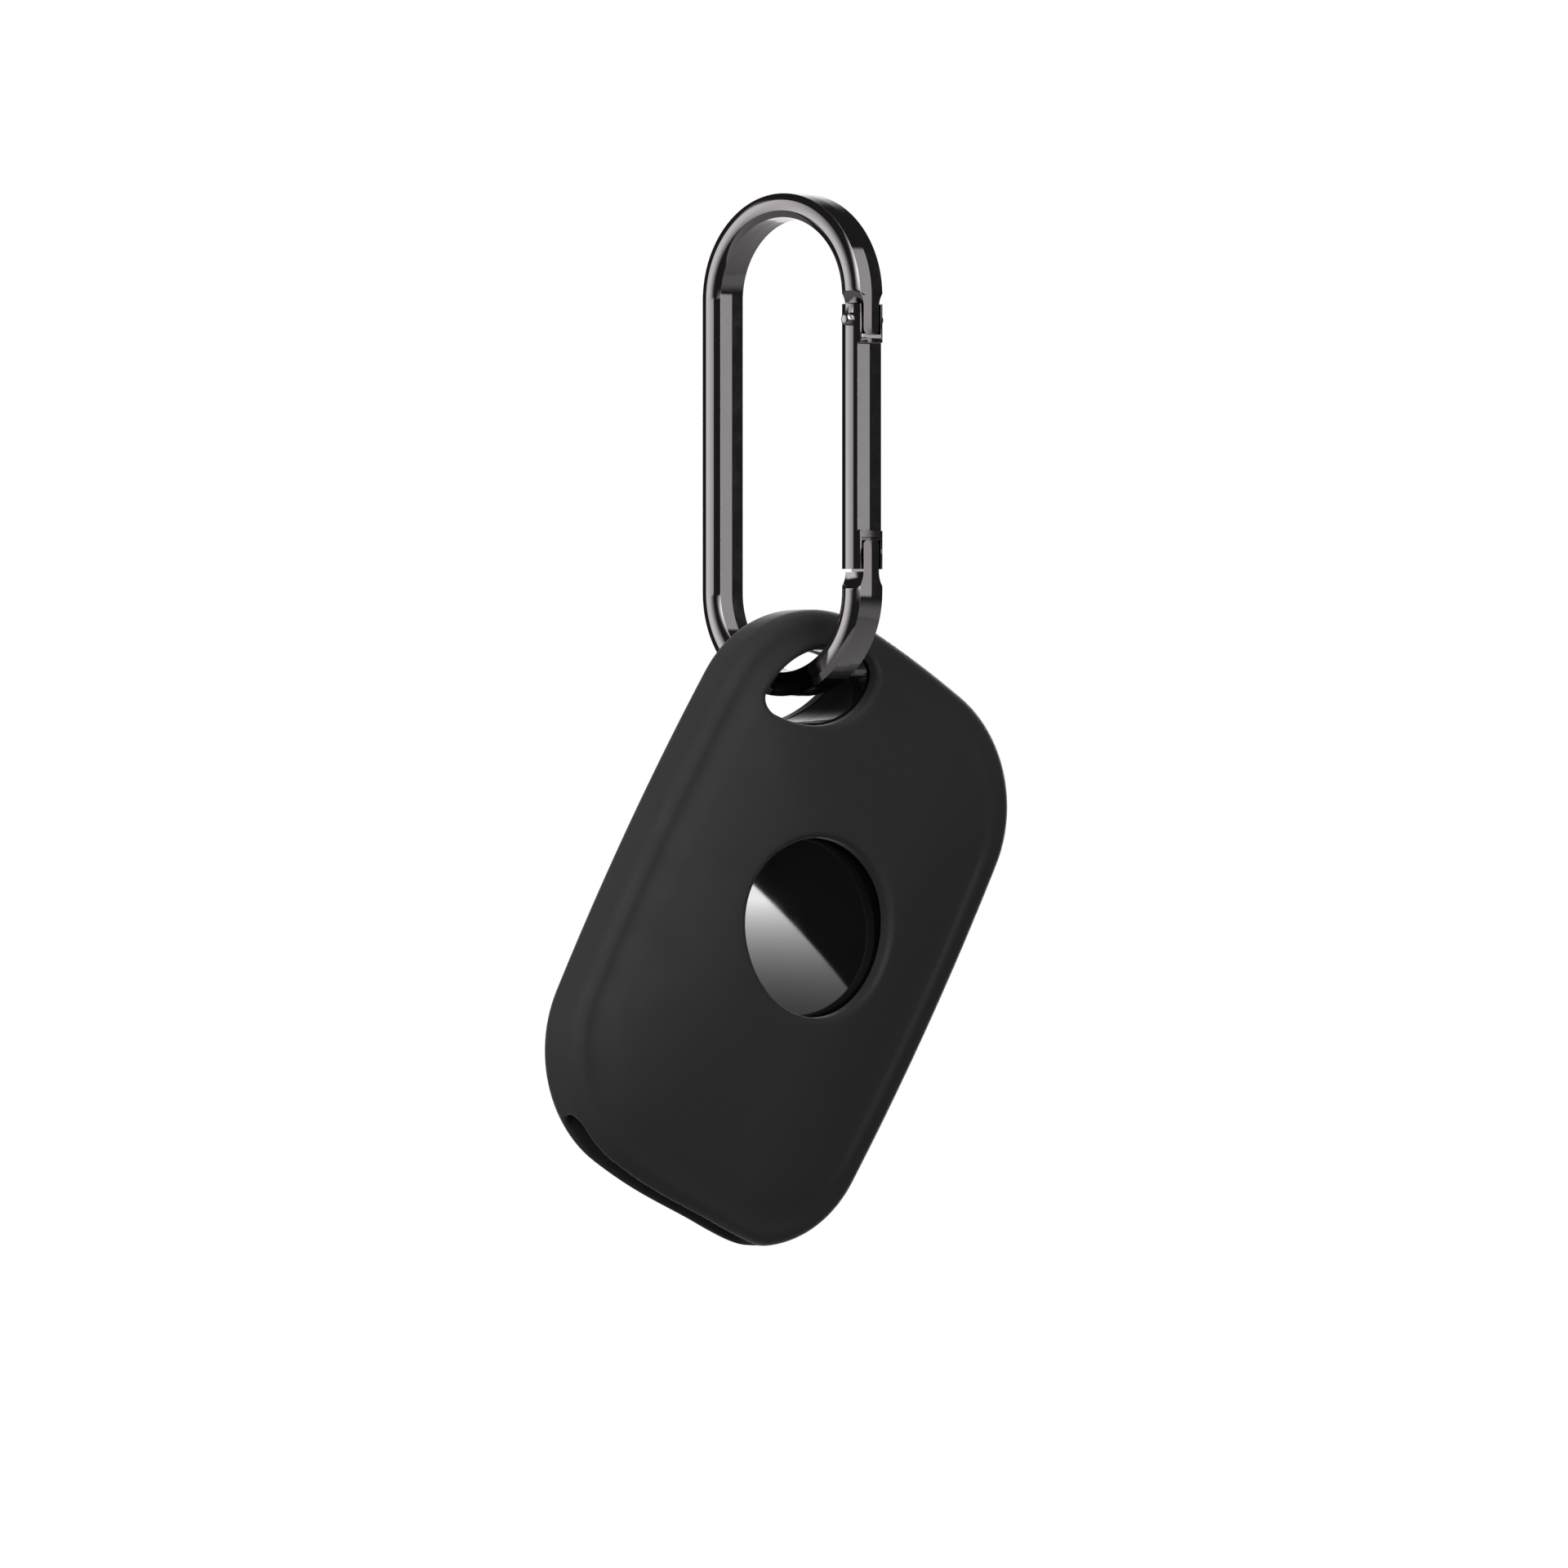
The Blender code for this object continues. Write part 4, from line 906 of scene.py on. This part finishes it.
for name, location, size_x, size_y, power in (
        ("key", (-0.84, -0.18, 0.2), 0.6, 0.8, 11.0),
        ("fill", (0.1, -0.9, 0.0), 0.6, 0.6, 2.2),
        ("top", (0.1, 0.1, 0.8), 0.6, 0.6, 4.0),
        ("rim", (0.5, 0.35, -0.08), 0.4, 0.8, 14.0),
):
    lamp = bpy.data.lights.new(name, "AREA")
    lamp.shape = "RECTANGLE"
    lamp.size, lamp.size_y = size_x, size_y
    lamp.energy = power
    made = bpy.data.objects.new(name, lamp)
    made.location = location
    direction = Vector((0, 0, -0.05)) - Vector(location)
    made.rotation_euler = direction.to_track_quat("-Z", "Y").to_euler()
    bpy.context.scene.collection.objects.link(made)
    made.visible_glossy = False

# The world: plain for the camera and for diffuse light, soft panels in reflections

world = bpy.data.worlds.new("studio")
bpy.context.scene.world = world
world.use_nodes = True
tree = world.node_tree
tree.nodes.clear()


def feed(socket, value):
    if hasattr(value, "links"):
        tree.links.new(value, socket)
    else:
        socket.default_value = value


def wmath(operation, *values):
    node = tree.nodes.new("ShaderNodeMath")
    node.operation = operation
    for index, value in enumerate(values):
        feed(node.inputs[index], value)
    return node.outputs[0]


coords = tree.nodes.new("ShaderNodeTexCoord")
split = tree.nodes.new("ShaderNodeSeparateXYZ")
tree.links.new(coords.outputs["Generated"], split.inputs[0])
azimuth = wmath("MULTIPLY", wmath("ARCTAN2", split.outputs[1], split.outputs[0]), 180 / math.pi)
height = wmath("MULTIPLY", wmath("ARCSINE", split.outputs[2]), 180 / math.pi)


def over(value, at, soft):
    """0 below a value and 1 above it, with a soft step."""
    span = tree.nodes.new("ShaderNodeMapRange")
    span.interpolation_type = "SMOOTHSTEP"
    tree.links.new(value, span.inputs["Value"])
    span.inputs["From Min"].default_value = at - soft
    span.inputs["From Max"].default_value = at + soft
    return span.outputs["Result"]


def panel(a0, a1, e0, e1, soft, level, turned_to=None):
    """A soft-edged light panel between two azimuths and two heights, in degrees."""
    off = wmath("SUBTRACT", turned_to or azimuth, (a0 + a1) / 2)
    wrapped = wmath("WRAP", off, 180.0, -180.0)
    near = wmath("SUBTRACT", 1.0, over(wmath("ABSOLUTE", wrapped), (a1 - a0) / 2, soft))
    low = over(height, e0, soft)
    high = wmath("SUBTRACT", 1.0, over(height, e1, soft))
    return wmath("MULTIPLY", wmath("MULTIPLY", near, wmath("MULTIPLY", low, high)), level)


def slant_panel(azimuth_at, height_at, level, fade):
    """A panel below a slanting edge, which dims downwards."""
    slant_a, slant_h, edge_soft = 0.573, 0.819, 0.12
    brightest_at, level_at = 1.4, 1.0
    offset = wmath("ADD", wmath("MULTIPLY", wmath("SUBTRACT", azimuth, azimuth_at), slant_a),
                   wmath("MULTIPLY", wmath("SUBTRACT", height, height_at), slant_h))
    under = wmath("SUBTRACT", 1.0, over(offset, 0.0, edge_soft))
    rise = wmath("MULTIPLY", wmath("SUBTRACT", wmath("MINIMUM", height, brightest_at), level_at),
                 fade)
    lit = wmath("MULTIPLY", under, wmath("EXPONENT", rise))
    return wmath("MULTIPLY", wmath("MULTIPLY", lit, panel(-63, -43, -9, 9, 0.5, 1.0)), level)


def background(shade, strength):
    node = tree.nodes.new("ShaderNodeBackground")
    node.inputs["Color"].default_value = (shade, shade, shade, 1)
    feed(node.inputs["Strength"], strength)
    return node.outputs[0]


def by_ray(kind, otherwise, where):
    """One background for the rays of a kind, and another for the rest."""
    node = tree.nodes.new("ShaderNodeMixShader")
    for index, value in enumerate((rays.outputs[kind], otherwise, where)):
        tree.links.new(value, node.inputs[index])
    return node.outputs[0]


# Each panel: azimuth from and to, height from and to, softness of its edges, level

bent = wmath("SUBTRACT", azimuth, wmath("MULTIPLY", wmath("MULTIPLY", height, height), 0.0125))
total = slant_panel(-58.2, 2.4, 10.5, 0.37)
for spec in (
        (-42, -29.6, -3, 34, 1.2, 0.75, bent),
        (125, 153, -15, 25, 6, 1.45),
        (-60, 0, -70, -9, 5, 0.22),
        (-125, -80, -5, 45, 12, 3.2),
        (-158, -128, 5, 60, 10, 3.5),
        (24, 80, 52, 80, 8, 1.6),
        (30, 62, -60, 25, 12, 1.3),
        (-100, 20, 60, 88, 8, 1.4),
):
    total = wmath("ADD", total, panel(*spec))

dim_level, plain_level = 0.03, 0.32
rays = tree.nodes.new("ShaderNodeLightPath")
reflected = background(0.8, wmath("ADD", total, dim_level))
around = by_ray("Is Glossy Ray", background(1, plain_level), reflected)
output = tree.nodes.new("ShaderNodeOutputWorld")
tree.links.new(by_ray("Is Camera Ray", around, background(1, 1)), output.inputs["Surface"])

# The camera, level and turned to the viewing angle, with the ring's top at its place in the frame

view_turn = math.radians(-37.5)
pixels_per_mm = 12.32
frame_size, ring_column, ring_row = 1920, 970, 237
sensor, distance = 36.0, 1.2

right = Vector((math.cos(view_turn), math.sin(view_turn), 0))
toward = Vector((math.sin(view_turn), -math.cos(view_turn), 0))
look_x = (frame_size / 2 - ring_column) / pixels_per_mm
look_z = bar_thickness - (frame_size / 2 - ring_row) / pixels_per_mm
look_at = (right * look_x + Vector((0, 0, look_z))) * MM
camera_data = bpy.data.cameras.new("camera")
camera_data.sensor_width = sensor
camera_data.lens = sensor * distance / (frame_size / pixels_per_mm * MM)
camera_data.clip_start = 0.05
camera = bpy.data.objects.new("camera", camera_data)
camera.location = look_at + toward * distance
camera.rotation_euler = (-toward).to_track_quat("-Z", "Y").to_euler()
bpy.context.scene.collection.objects.link(camera)
bpy.context.scene.camera = camera
bpy.context.scene.view_settings.view_transform = "Standard"

bpy.context.view_layer.update()
